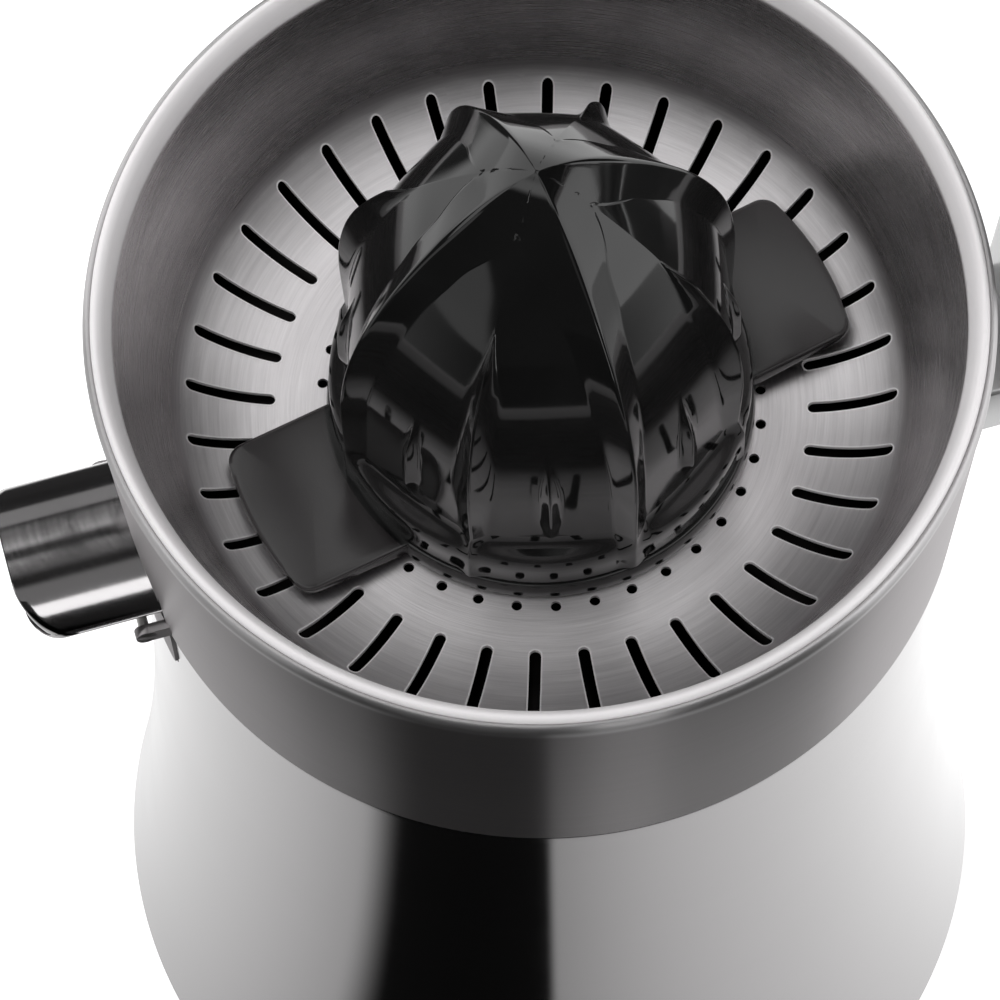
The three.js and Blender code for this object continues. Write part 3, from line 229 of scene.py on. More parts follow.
def lathe(name, outline, steps=256, closed=True, about=(0, 0)):
    """An outline of (radius, height) in metres turned about Z. A radius of nought becomes one point."""
    points, rows = [], []
    for radius, height in outline:
        if radius < 1e-7:
            rows.append([len(points)] * steps)
            points.append((about[0], about[1], height))
            continue
        rows.append(range(len(points), len(points) + steps))
        for x, y in arc(radius, 0, TURN, steps, about)[:-1]:
            points.append((x, y, height))
    faces = []
    pairs = zip(rows, rows[1:] + rows[:1]) if closed else zip(rows, rows[1:])
    for low, high in pairs:
        for i in range(steps):
            j = (i + 1) % steps
            corners = []
            for corner in (low[i], low[j], high[j], high[i]):
                if corner not in corners:
                    corners.append(corner)
            if len(corners) > 2:
                faces.append(corners)
    return outward(new_piece(name, points, faces))


def filleted(outline, radius, steps=5, closed=True):
    """Rounds each corner of an outline by up to that radius."""
    count = len(outline)
    done = []
    for i, corner in enumerate(outline):
        if not closed and i in (0, count - 1):
            done.append(corner)
            continue
        here = Vector(corner)
        before = Vector(outline[i - 1]) - here
        after = Vector(outline[(i + 1) % count]) - here
        reach = min(radius, 0.45 * before.length, 0.45 * after.length)
        start = here + before.normalized() * reach
        end = here + after.normalized() * reach
        for k in range(steps + 1):
            share = k / steps
            point = start * (1 - share) ** 2 + here * 2 * share * (1 - share) + end * share**2
            done.append(tuple(point))
    return done


def through(points, steps):
    """A smooth line that meets every point, with the same number of steps in each span."""
    ends = [points[0], *points, points[-1]]
    line = []
    for i in range(1, len(ends) - 2):
        a, b, c, d = (Vector(p) for p in ends[i - 1 : i + 3])
        for k in range(steps):
            t = k / steps
            bend, twist = 2 * a - 5 * b + 4 * c - d, 3 * b - a - 3 * c + d
            line.append(tuple(0.5 * (2 * b + (c - a) * t + bend * t**2 + twist * t**3)))
    line.append(tuple(points[-1]))
    return line


def arc(radius, start, end, steps, about=(0, 0)):
    """Points on a circle from one angle to another, both included."""
    turns = [start + (end - start) * i / steps for i in range(steps + 1)]
    return [(about[0] + radius * math.cos(turn), about[1] + radius * math.sin(turn)) for turn in turns]


def oblong(left, low, right, high):
    return [(left, low), (right, low), (right, high), (left, high)]


def swept(t, width, start, start_slope, end, end_slope):
    """A value between two stops, on a curve that keeps to the slope at each."""
    return (
        (2 * t**3 - 3 * t**2 + 1) * start
        + (t**3 - 2 * t**2 + t) * width * start_slope
        + (-2 * t**3 + 3 * t**2) * end
        + (t**3 - t**2) * width * end_slope
    )


def slab(name, outline, low, high, axis="Z"):
    """A flat outline raised along an axis: (x, y) along Z, (y, z) along X, or (x, z) along -Y."""
    points, count = [], len(outline)
    for level in (low, high):
        for a, b in outline:
            points.append({"Z": (a, b, level), "X": (level, a, b), "-Y": (a, -level, b)}[axis])
    faces = [list(range(count))[::-1], list(range(count, 2 * count))]
    faces += [[i, (i + 1) % count, count + (i + 1) % count, count + i] for i in range(count)]
    return outward(new_piece(name, points, faces))


def block(name, low, high):
    (x0, y0, z0), (x1, y1, z1) = low, high
    return slab(name, oblong(x0, y0, x1, y1), z0, z1)


def rod(name, radius, x0, x1, y, z, steps, round_by):
    """A rod along X whose rims are rounded."""
    outline = oblong(0, x0, radius, x1)
    rounded = filleted(outline, round_by, 3, False)[1:-1]
    piece = lathe(name, [outline[0], *rounded, outline[-1]], steps, closed=False)
    piece.data.transform(Matrix(((0, 0, 1, 0), (1, 0, 0, y), (0, 1, 0, z), (0, 0, 0, 1))))
    return outward(piece)


def middle(node):
    low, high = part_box(node)
    return (low + high) / 2


# Shader maths


class Wire:
    """A socket's value. Arithmetic on it adds the Math nodes that work it out."""

    def __init__(self, board, socket):
        self.board, self.socket = board, socket

    def math(self, operation, other=0.0, third=0.0):
        return self.board.add("ShaderNodeMath", {"operation": operation}, self, other, third)

    def __add__(self, other):
        return self.math("ADD", other)

    def __radd__(self, other):
        return self.math("ADD", other)

    def __sub__(self, other):
        return self.math("SUBTRACT", other)

    def __rsub__(self, other):
        return self.board.add("ShaderNodeMath", {"operation": "SUBTRACT"}, other, self)

    def __mul__(self, other):
        return self.math("MULTIPLY", other)

    def __rmul__(self, other):
        return self.math("MULTIPLY", other)

    def __truediv__(self, other):
        return self.math("DIVIDE", other)

    def __pow__(self, other):
        return self.math("POWER", other)

    def over(self, limit, softness):
        """0 below the limit, 1 above it, with a soft step."""
        settings = {"interpolation_type": "SMOOTHSTEP"}
        return self.board.add("ShaderNodeMapRange", settings, self, limit - softness, limit + softness)


class Board:
    """The nodes of one material or world."""

    def __init__(self, tree):
        self.tree = tree
        tree.nodes.clear()

    def make(self, kind, settings=None, *values, **named):
        node = self.tree.nodes.new(kind)
        for key, value in (settings or {}).items():
            setattr(node, key, value)
        for key, value in list(enumerate(values)) + list(named.items()):
            socket = node.inputs[key.replace("_", " ") if isinstance(key, str) else key]
            if isinstance(value, Wire):
                self.tree.links.new(value.socket, socket)
            elif value is not None:
                socket.default_value = value
        return node

    def add(self, kind, settings=None, *values, out=0, **named):
        return Wire(self, self.make(kind, settings, *values, **named).outputs[out])

    def blend(self, share, a, b):
        node = self.tree.nodes.new("ShaderNodeMix")
        node.data_type = "RGBA"
        for socket, value in ((node.inputs[0], share), (node.inputs[6], a), (node.inputs[7], b)):
            if isinstance(value, Wire):
                self.tree.links.new(value.socket, socket)
            elif isinstance(value, tuple):
                socket.default_value = (*value, 1)
            else:
                socket.default_value = value
        return Wire(self, node.outputs[2])

    def here(self):
        return self.add("ShaderNodeTexCoord", out="Object")

    def place(self, coordinates=None):
        """The point's x, y and z, in the object's own frame unless other coordinates are given."""
        parts = self.make("ShaderNodeSeparateXYZ", None, coordinates or self.here())
        return [Wire(self, out) for out in parts.outputs]

    def vector(self, x, y, z):
        return self.add("ShaderNodeCombineXYZ", None, x, y, z)

    def noise(self, vector, scale, detail, roughness=0.5):
        settings = {"Vector": vector, "Scale": scale, "Detail": detail, "Roughness": roughness}
        return self.add("ShaderNodeTexNoise", None, **settings)

    def bump(self, height, strength, distance):
        settings = {"Strength": strength, "Distance": distance, "Height": height}
        return self.add("ShaderNodeBump", None, out="Normal", **settings)

    def surface(self, shader):
        self.tree.links.new(shader.socket, self.make("ShaderNodeOutputMaterial").inputs["Surface"])

    def principled(self, **values):
        self.surface(self.add("ShaderNodeBsdfPrincipled", None, **values))

    def metal(self, shade, metallic, rough, spread, lines, depth):
        """A metal whose highlights widen across its polishing lines."""
        normal = self.bump(lines, depth, 0.0002)
        self.principled(
            Base_Color=shade,
            Metallic=metallic,
            Roughness=rough,
            Anisotropic=spread,
            Anisotropic_Rotation=0.25,
            Normal=normal,
        )


def new_finish(name):
    finish = bpy.data.materials.get(name)
    if finish:
        return finish, None
    finish = bpy.data.materials.new(name)
    finish.use_nodes = True
    return finish, Board(finish.node_tree)


def own_colour(name):
    return tuple(getattr(bpy.context.scene.press_colours, name))


def tone(tint, factor):
    """A colour made darker or lighter, and never brighter than white."""
    return tuple(min(1, factor * c) for c in tint)


def from_axis(x, y):
    """Distance from the press's upright axis."""
    return (x * x + y * y) ** 0.5


def turned_lines(board, along, across=2600.0):
    """Fine lines that run round the Z axis, as polishing leaves on a turned sheet."""
    x, y, z = board.place()
    reach = (from_axis(x, y) - z) * across
    return board.noise(board.vector(y.math("ARCTAN2", x) * along, reach, z * across), 1.0, 3.0, 0.65)


def brushed(name, tint, roughness, spread, along, depth, across=2600.0, contrast=0.12):
    """Steel whose polishing lines run round the Z axis."""
    finish, board = new_finish(name)
    if board:
        lines = turned_lines(board, along, across)
        cloud = board.noise(board.here(), 30.0, 3.0)
        streaks = turned_lines(board, along / 3, across / 5)
        shade = board.blend(streaks, tone(tint, 1 - contrast), tone(tint, 1 + contrast))
        rough = lines * 0.08 + cloud * 0.05 + (roughness - 0.065)
        board.metal(shade, 1.0, rough, spread, lines, depth)
    return finish


def basket_steel():
    """The liner's lip and wall and the strainer: a satin bead painted near white, partly a painted sheen; a finer
    wall painted darker as painted shade; a brushed dish with painted highlights round the slots.
    """
    finish, board = new_finish("basket_steel")
    if board:
        sizes, tint = bpy.context.scene.press_sizes, own_colour("steel")
        x, y, _ = board.place()
        radius = from_axis(x, y)
        wall = radius.over(74.5 * MM, 1.5 * MM)
        lip = radius.over(sizes.rim_inner + 0.15 * MM, 0.15 * MM)
        pitch, half = TURN / sizes.slot_count, sizes.slot_width / 2
        aside = (y.math("ARCTAN2", x) - FIRST_SLOT).math("WRAP", pitch / 2, -pitch / 2)
        across, along = radius * aside.math("SINE"), radius * aside.math("COSINE")
        beyond = along - along.math("MAXIMUM", SLOT_ENDS[0] + half).math("MINIMUM", SLOT_ENDS[1] - half)
        # Painted highlight: a near-white, less metallic band round each slot's edge stands in for the bright line
        # its bevel catches.
        edge = (1 - from_axis(across, beyond).over(half + 0.28 * MM, 0.1 * MM)) * 0.75
        lines = turned_lines(board, 5.0)
        streaks = turned_lines(board, 2.5, 1300.0) * 0.6 + turned_lines(board, 4.0, 3100.0) * 0.4
        dish = board.blend(streaks, tone(tint, 0.66), tone(tint, 1.3))
        # Painted shade: the steep wall gets a darker steel colour than the dish, though both are one sheet.
        shade = board.blend(wall, dish, board.blend(streaks, (0.36, 0.335, 0.345), (0.9, 0.86, 0.87)))
        # Partly painted sheen: the rolled lip is painted near white and made mostly non-metallic for the light it
        # reflects, on top of its rougher satin finish.
        shade = board.blend(lip, shade, board.blend(streaks, (0.9, 0.875, 0.885), (1.0, 0.975, 0.985)))
        shade = board.blend(edge, shade, (0.95, 0.93, 0.935))
        rough = lines * 0.08 + 0.36 - wall * 0.13 + lip * 0.2
        board.metal(shade, 1 - lip.math("MAXIMUM", edge) * 0.8, rough, 0.85, lines, 0.16)
    return finish


def bowl_steel():
    return brushed("bowl_steel", own_colour("steel"), 0.34, 0.85, 5.0, 0.16)


def column_steel():
    return brushed("column_steel", own_colour("column"), 0.12, 0.5, 4.0, 0.02, 900.0, 0.015)


def skirt_steel():
    """The bowl: a finely brushed skirt, painted near black inside as painted shadow where the strainer shuts out
    the light.
    """
    finish, board = new_finish("skirt_steel")
    if board:
        sizes, tint = bpy.context.scene.press_sizes, own_colour("skirt")
        x, y, z = board.place()
        unshaded_outside = from_axis(x, y).over(sizes.skirt_foot - 1.2 * MM, 0.2 * MM)
        shoulder = z.over(sizes.rim_height + 0.6 * MM, 1.2 * MM)
        lines = turned_lines(board, 4.0)
        shade = board.blend(turned_lines(board, 1.6, 700.0), tone(tint, 0.94), tone(tint, 1.06))
        shade = board.blend(shoulder, shade, (0.5, 0.49, 0.495))
        # Painted shadow: inside the skirt's outer face the steel is painted near black, the shade under the
        # strainer.
        shade = board.blend(unshaded_outside, (0.012, 0.011, 0.011), shade)
        board.metal(shade, 1.0, lines * 0.08 + 0.32, 1.0, lines, 0.04)
    return finish


def gloss_black():
    finish, board = new_finish("gloss_black_plastic")
    if board:
        tint = own_colour("reamer")
        cloud = board.noise(board.here(), 60.0, 3.0)
        shade = board.blend(cloud, tint, tone(tint, 2))
        normal = board.bump(cloud, 0.05, 0.0003)
        board.principled(Base_Color=shade, Roughness=cloud * 0.05 + 0.05, IOR=1.5, Normal=normal)
    return finish


def satin_black():
    """The wings and the grip, with the ring under the cone glossier and painted darker, painted shade for the
    shadowed strainer it mirrors.
    """
    finish, board = new_finish("satin_black_plastic")
    if board:
        tint = own_colour("base")
        cloud, grain = board.noise(board.here(), 45.0, 3.0), board.noise(board.here(), 2600.0, 2.0)
        x, y, _ = board.place()
        wing = from_axis(x, y).over(44.6 * MM, 0.3 * MM)
        # Painted shade: the ring under the cone is painted near black, as the strainer it mirrors lies in the
        # cone's shadow.
        shade = board.blend(wing, (0.003, 0.003, 0.003), board.blend(cloud, tint, tone(tint, 1.35)))
        rough = grain * 0.1 + cloud * 0.04 + 0.1 + wing * 0.04
        board.principled(Base_Color=shade, Roughness=rough, Normal=board.bump(grain, 0.12, 0.0001))
    return finish


def cast_metal():
    finish, board = new_finish("cast_aluminium")
    if board:
        tint = own_colour("cast")
        cloud, grain = board.noise(board.here(), 35.0, 4.0), board.noise(board.here(), 1500.0, 3.0)
        shade = board.blend(cloud, tone(tint, 0.9), tint)
        rough = grain * 0.16 + cloud * 0.08 + 0.26
        normal = board.bump(grain, 0.2, 0.0002)
        board.principled(Base_Color=shade, Metallic=1.0, Roughness=rough, Normal=normal)
    return finish


def plain(name, tint, roughness, metallic, scale, depth=0.15):
    """A plain finish with fine grain, for what is turned, drawn or moulded."""
    finish, board = new_finish(name)
    if board:
        grain, cloud = board.noise(board.here(), scale, 4.0), board.noise(board.here(), scale / 8, 3.0)
        shade = board.blend(cloud, tone(tint, 0.85), tint)
        rough = grain * 0.14 + (roughness - 0.07)
        normal = board.bump(grain, depth, 0.0003)
        board.principled(Base_Color=shade, Metallic=metallic, Roughness=rough, Normal=normal)
    return finish


def dome_steel():
    return plain("dome_steel", (0.62, 0.59, 0.6), 0.2, 1.0, 260.0, 0.05)


def black_rubber():
    return plain("black_rubber", (0.018, 0.018, 0.02), 0.75, 0.0, 900.0, 0.3)


def ground_steel():
    return plain("ground_steel", (0.5, 0.49, 0.48), 0.35, 0.6, 500.0)


def turned_brass():
    return plain("turned_brass", (0.55, 0.37, 0.13), 0.3, 1.0, 500.0)


def wound_copper():
    return plain("wound_copper", (0.45, 0.17, 0.08), 0.4, 1.0, 700.0, 0.4)


def moulded_nylon():
    return plain("moulded_nylon", (0.045, 0.045, 0.048), 0.5, 0.0, 600.0)


# Pieces


class PRESS_OT_column(Operator):
    """Build the polished column with its windows for the bracket and the apron"""

    bl_idname = "press.column"
    bl_label = "Column"

    def execute(self, context):
        sizes = context.scene.press_sizes
        low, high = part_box("body_housing")
        foot, top, widest, wall = low.z, high.z, high.x, sizes.sheet
        narrow, flare, rings = sizes.skirt_foot - 0.6 * MM, 2.1, 72
        outer, inner = [], []
        for i in range(rings + 1):
            z = foot + (top - foot) * i / rings
            radius = narrow + (widest - narrow) * ((top - z) / (top - foot)) ** flare
            outer.append((radius, z))
            inner.append((radius - wall, min(z, top - wall)))
        ledge = narrow - 5 * MM
        rim = filleted([outer[-2], (narrow, top), (ledge, top), (ledge, top - wall)], 1.9 * MM, 8, False)
        column = lathe("column", outer[:-1] + rim[1:] + inner[::-1], 288)
        gap = 0.3 * MM
        apron_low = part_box("juice_bowl")[0].z
        neck_half, neck_tall, neck_high = 15.3 * MM, 18 * MM, apron_low + 15.9 * MM - gap
        window = block(
            "window",
            (-neck_half, 78.7 * MM, neck_high - neck_tall - gap),
            (neck_half, widest + 2 * MM, top + 2 * MM),
        )
        half = APRON_HALF + gap
        apron = filleted(oblong(-half, apron_low - gap, half, top + 10 * MM), 2.5 * MM, 8)
        notch = slab("notch", apron, 0, 120 * MM, "-Y")
        behind_apron = oblong(0, apron_low - 10 * MM, narrow - 2.6 * MM, top + 20 * MM)
        cut(notch, lathe("inset", behind_apron, 96, closed=False))
        cut(column, window, notch)
        fit(column, "column", column_steel(), "polished_steel", "body_housing")
        return {"FINISHED"}


class PRESS_OT_bowl(Operator):
    """Build the juice bowl: skirt, rolled shoulder, floor, doorway, ears and apron"""

    bl_idname = "press.bowl"
    bl_label = "Juice bowl"

    def execute(self, context):
        sizes = context.scene.press_sizes
        rim, foot = sizes.rim_height, sizes.rim_height - sizes.skirt_depth
        wall = 1.5 * MM
        inner, floor = sizes.skirt_foot - wall, foot + 6.3 * MM
        bore, tube, tube_top = 13.3 * MM, 14.6 * MM, floor + 9 * MM
        roll = [(-0.25, 0.4), (0, 2.6), (-0.2, 3.7), (-0.8, 4.5), (-1.5, 4.4), (-1.9, 3.6)]
        seam = sizes.rim_outer - 2 * MM
        outer_corner = [(inner, rim - 8 * MM), (inner, floor), (inner - 30 * MM, floor + 1.4 * MM)]
        tube_corner = [(30 * MM, floor + 2.4 * MM), (tube, floor + 2.4 * MM), (tube, tube_top)]
        outline = [
            (sizes.skirt_foot - 0.5 * MM, foot),
            (sizes.skirt_foot - 0.15 * MM, foot + 0.15 * MM),
            (sizes.skirt_foot, foot + 0.5 * MM),
            *through([(sizes.rim_outer + r * MM, rim + z * MM) for r, z in roll], 5),
            (seam, rim + 1.4 * MM),
            (seam - wall, rim + 1.4 * MM),
            (seam - wall, rim - wall),
            *filleted(outer_corner, 6 * MM, 8, False),
            *filleted(tube_corner, 2 * MM, 5, False),
            (bore, tube_top),
            (bore, floor + 0.6 * MM),
            (inner - 30 * MM, floor - 0.4 * MM),
            (inner - 4 * MM, floor - 1.8 * MM),
            (inner, floor - 1.8 * MM),
            (inner, foot),
        ]
        bowl = lathe("juice_bowl_skin", outline, 288)
        apron_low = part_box("juice_bowl")[0].z
        profile = filleted(oblong(-APRON_HALF, apron_low, APRON_HALF, foot + 0.6 * MM), 2.5 * MM, 8)
        apron = slab("apron", profile, 50 * MM, 120 * MM, "-Y")
        shell = lathe("shell", oblong(inner, apron_low - 10 * MM, sizes.skirt_foot, foot + 10 * MM), 288)
        cut(apron, shell, operation="INTERSECT")
        centre, reach = spout_frame()
        opening = reach + 0.8 * MM
        arch = arc(opening, 0, math.pi, 32, (0, centre))
        arch += [(-opening, centre - 1.8 * MM), (opening, centre - 1.8 * MM)]
        door = slab("door", arch, 60 * MM, 130 * MM, "-Y")
        cut(door, lathe("core", oblong(0, foot - 10 * MM, inner - 0.05 * MM, rim), 288, closed=False))
        cut(bowl, door)
        sill = oblong(-opening, floor + 0.1 * MM, opening, tube_top)
        cut(bowl, slab("sill", sill, 78 * MM, 86.8 * MM, "-Y"))
        pin = middle("spout_pin")
        near, far, thick = reach + 0.3 * MM, reach + 2.7 * MM, 2.1 * MM
        back = 1.2 * MM - math.sqrt(sizes.skirt_foot**2 - far**2)
        ears = []
        for side in (-1, 1):
            x0, x1 = sorted((side * near, side * far))
            low, high = (x0 + 0.15 * MM, pin.y, pin.z - thick), (x1 - 0.15 * MM, back, pin.z + thick)
            nose = rod("nose", thick + 0.1 * MM, x0, x1, pin.y, pin.z, 32, 0.3 * MM)
            ears += [block("ear", low, high), nose]
        skin = fuse("juice_bowl_skin", [bowl, apron, *ears])
        fit(skin, "column", skirt_steel(), "brushed_steel", "juice_bowl")
        return {"FINISHED"}


def spout_frame():
    """Height of the spout's floor and its hood's radius."""
    _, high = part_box("spout")
    return high.z - high.x, high.x


BASKET_LINE = (
    (0.0, -40.9), (50.0, -40.9), (55.1, -40.85), (61.1, -39.8), (67.7, -37.1), (73.1, -33.1),
    (76.1, -28.2), (79.0, -20.7), (81.8, -9.4), (84.6, 0.0),
)


def basket_height(radius, rim):
    """Height of the liner's and the strainer's top face at a radius, as one swept line."""
    line, r = BASKET_LINE, radius / MM
    k = min(max(i for i in range(len(line) - 1) if line[i][0] <= r), len(line) - 2)

    def slope(i):
        if i <= 1:
            return 0.0
        after = min(i + 1, len(line) - 1)
        return (line[after][1] - line[i - 1][1]) / (line[after][0] - line[i - 1][0])

    (r0, z0), (r1, z1) = line[k], line[k + 1]
    return rim + swept((r - r0) / (r1 - r0), r1 - r0, z0, slope(k), z1, slope(k + 1)) * MM


class PRESS_OT_basket(Operator):
    """Build the bright lip, steep wall and slotted strainer as one polished sheet"""

    bl_idname = "press.basket"
    bl_label = "Liner and strainer"

    def execute(self, context):
        sizes = context.scene.press_sizes
        rim, count = sizes.rim_height, sizes.slot_count
        pitch, start = TURN / count, FIRST_SLOT
        hole_ring, hole = 0.0456, 0.0011
        slot_window, hole_window = (0.0535, 0.0747), (0.0427, 0.0486)
        arcs = 8
        steps = arcs * count
        points, faces, index = [], [], {}

        def vertex(radius, angle, height=None):
            z = basket_height(radius, rim) if height is None else height
            key = (round(radius, 7), round(angle % TURN, 6) % round(TURN, 6), round(z, 7))
            if key not in index:
                index[key] = len(points)
                points.append((radius * math.cos(angle), radius * math.sin(angle), z))
            return index[key]

        def band(r0, r1, z0=None, z1=None):
            for i in range(steps):
                a, b = start + pitch * i / arcs, start + pitch * (i + 1) / arcs
                faces.append([vertex(r0, a, z0), vertex(r1, a, z1), vertex(r1, b, z1), vertex(r0, b, z0)])

        def window(centre, half, ends, sides, hole_points, shares):
            """Quads between a polar box round an angle and a hole's outline inside it."""
            r0, r1 = ends
            edge = [(r1, centre - half + 2 * half * i / arcs) for i in range(arcs)]
            edge += [(r1 + (r0 - r1) * i / sides, centre + half) for i in range(sides)]
            edge += [(r0, centre + half - 2 * half * i / arcs) for i in range(arcs)]
            edge += [(r0 + (r1 - r0) * i / sides, centre - half) for i in range(sides)]
            rows = []
            for share in shares:
                row = []
                for (radius, angle), (u, v) in zip(edge, hole_points):
                    x, y = radius * math.cos(angle - centre), radius * math.sin(angle - centre)
                    x, y = x + (u - x) * share, y + (v - y) * share
                    if share == 0:
                        row.append(vertex(radius, angle))
                    else:
                        row.append(vertex(math.hypot(x, y), centre + math.atan2(y, x)))
                rows.append(row)
            for outer, inner in zip(rows, rows[1:]):
                for i in range(len(outer)):
                    j = (i + 1) % len(outer)
                    faces.append([outer[i], outer[j], inner[j], inner[i]])

        def slot_outline(sides):
            half = sizes.slot_width / 2
            r0, r1 = SLOT_ENDS[0] + half, SLOT_ENDS[1] - half
            turns = [math.pi * (i / arcs - 0.5) for i in range(arcs)]
            ring = [(r1 + half * math.cos(turn), half * math.sin(turn)) for turn in turns]
            ring += [(r1 + (r0 - r1) * i / sides, half) for i in range(sides)]
            ring += [(r0 - half * math.cos(turn), -half * math.sin(turn)) for turn in turns]
            ring += [(r0 + (r1 - r0) * i / sides, -half) for i in range(sides)]
            return ring

        def hole_outline(sides):
            corner = hole_window[1] * math.cos(pitch / 2) - hole_ring
            first = -math.atan2(math.sin(pitch / 2) * hole_window[1], corner)
            corners = [first, -first, math.pi - 0.9, math.pi + 0.9, TURN + first]
            ring = []
            for (a, b), n in zip(zip(corners, corners[1:]), (arcs, sides, arcs, sides)):
                for i in range(n):
                    angle = a + (b - a) * i / n
                    ring.append((hole_ring + hole * math.cos(angle), hole * math.sin(angle)))
            return ring

        slot, ring_hole = slot_outline(12), hole_outline(4)
        for i in range(count):
            window(start + pitch * i, pitch / 2, slot_window, 12, slot, (0, 0.35, 0.7, 0.9, 0.97, 1))
            window(start + pitch * (i + 0.5), pitch / 2, hole_window, 4, ring_hole, (0, 0.4, 0.75, 0.95, 1))
        between = [hole_window[1], 0.051, slot_window[0]]
        inside_holes = [0.014, 0.02, 0.03, 0.037, hole_window[0]]
        wall = [slot_window[1] + (0.0846 - slot_window[1]) * i / 22 for i in range(23)]
        for line in (between, inside_holes, wall):
            for r0, r1 in zip(line, line[1:]):
                band(r0, r1)
        lip = [
            (84.6, 0.0), (84.9, 1.3), (85.5, 3.0), (86.3, 4.6), (87.2, 5.6), (87.9, 5.8),
            (88.4, 5.5), (88.65, 4.9), (88.7, 4.0), (88.7, 2.0),
        ]
        lip = [(r * MM, rim + z * MM) for r, z in through(lip, 4)]
        for (r0, z0), (r1, z1) in zip(lip, lip[1:]):
            band(r0, r1, z0, z1)
        basket = new_piece("basket", points, [face for face in faces if len(set(face)) == 4])
        work = bmesh.new()
        work.from_mesh(basket.data)
        bmesh.ops.remove_doubles(work, verts=work.verts, dist=2e-6)
        bmesh.ops.recalc_face_normals(work, faces=work.faces)
        if sum(f.normal.z * f.calc_area() for f in work.faces) < 0:
            bmesh.ops.reverse_faces(work, faces=work.faces)
        work.to_mesh(basket.data)
        work.free()
        thick = basket.modifiers.new("sheet", "SOLIDIFY")
        thick.thickness = 1.0 * MM
        thick.offset = -1
        settle(basket)
        soften(basket, 0.24 * MM, 2, 50)
        nodes = ("bowl_liner", "strainer_plate")
        fit(basket, "column", basket_steel(), "brushed_steel", *nodes, sharp=40)
        return {"FINISHED"}


class PRESS_OT_spout(Operator):
    """Build the arched spout with its rounded tip, and its pin"""

    bl_idname = "press.spout"
    bl_label = "Spout"

    def execute(self, context):
        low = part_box("spout")[0]
        floor, reach = spout_frame()
        wall, corner, lower = 1.4 * MM, 9 * MM, 3.2 * MM
        tip, skirt, lip = -low.y - 0.9 * MM, 87.9 * MM, 1.2 * MM

        def section(inset):
            """Half a section, from the floor's middle to the crown, set in by that much."""
            half = [((reach - lower) * i / 10, floor + inset) for i in range(10)]
            half += arc(lower - inset, -math.pi / 2, 0, 8, Vector((reach - lower, floor + lower)))
            start = math.asin(lower / reach)
            for i in range(1, 41):
                turn = start + (math.pi / 2 - start) * i / 40
                half.append(((reach - inset) * math.cos(turn), floor + (reach - inset) * math.sin(turn)))
            return half + [(-x, z) for x, z in half[-2:0:-1]]

        def front(x, z):
            """How far the hood runs out: rounded corners, and its floor set back under the crown."""
            side = max(0.0, abs(x) - (reach - corner))
            back = lip * max(0.0, 1 - (z - floor) / (2.2 * lower)) ** 1.5
            return tip - back - corner + math.sqrt(max(0.0, corner**2 - side**2))

        rows, edge = [], ((0, 0), (0, 1), (0.12, 1.04), (0.5, 1.06), (0.88, 1.04), (1, 1), (1, 0))
        for inset, back in edge:
            row = []
            for x, z in section(inset * wall):
                start = math.sqrt(skirt**2 - x**2)
                end = front(x, z) - 0.3 * MM
                row.append((x, -(start + (end - start) * min(back, 1) + max(0, back - 1) * 5 * MM), z))
            rows.append(row)

        def between(first, last):
            pairs = [(Vector(a), Vector(b)) for a, b in zip(first, last)]
            return [[tuple(a.lerp(b, i / 16)) for a, b in pairs] for i in range(17)]

        loops = between(rows[0], rows[1]) + rows[2:5] + between(rows[5], rows[6])
        count = len(loops[0])
        points = [point for loop in loops for point in loop]
        faces = []
        for k in range(len(loops)):
            a, b = k * count, (k + 1) % len(loops) * count
            faces += [[a + i, a + (i + 1) % count, b + (i + 1) % count, b + i] for i in range(count)]
        hood = outward(new_piece("hood", points, faces))
        (pin_low, pin_high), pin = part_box("spout_pin"), middle("spout_pin")
        half, thick = 0.58 * reach, 2.1 * MM
        barrel = rod("barrel", thick + 0.1 * MM, -half, half, pin.y, pin.z, 40, 0.3 * MM)
        inside = half - 0.3 * MM
        web = block("web", (-inside, pin.y - thick, pin.z), (inside, pin.y + thick, floor + wall / 2))
        spout = fuse("pouring_spout", [hood, barrel, web])
        fit(spout, "spout", column_steel(), "polished_steel", "spout")
        left, right = pin_low.x + 0.5 * MM, pin_high.x - 0.5 * MM
        turned = rod("spout_pin_turned", 1.1 * MM, left, right, pin.y, pin.z, 32, 0.3 * MM)
        fit(turned, "column", ground_steel(), "dark_steel", "spout_pin")
        return {"FINISHED"}


RIDGE_STOPS = (
    (1, 0), (0.991, 0.092), (0.974, 0.184), (0.94, 0.3), (0.897, 0.415), (0.844, 0.53), (0.782, 0.645),
    (0.707, 0.76), (0.616, 0.864), (0.525, 0.936), (0.418, 0.982), (0.31, 1), (0, 1),
)
BODY_STOPS = (
    (1, 0.7), (0.94, 0.74), (0.85, 0.82), (0.78, 0.857), (0.62, 0.88), (0.4, 0.905),
    (0.15, 0.93), (0.096, 0.984), (0, 0.984),
)
FLANK_STOPS = (
    (1, 44.9), (0.93, 44.9), (0.89, 31), (0.85, 20), (0.8, 15), (0.74, 11), (0.6, 8), (0.4, 5.5), (0, 4.5),
)
FIN_STOPS = (
    (1, 0.7), (0.782, 0.857), (0.73, 0.97), (0.6, 0.985), (0.4, 0.98),
    (0.15, 0.965), (0.096, 0.998), (0, 1.003),
)


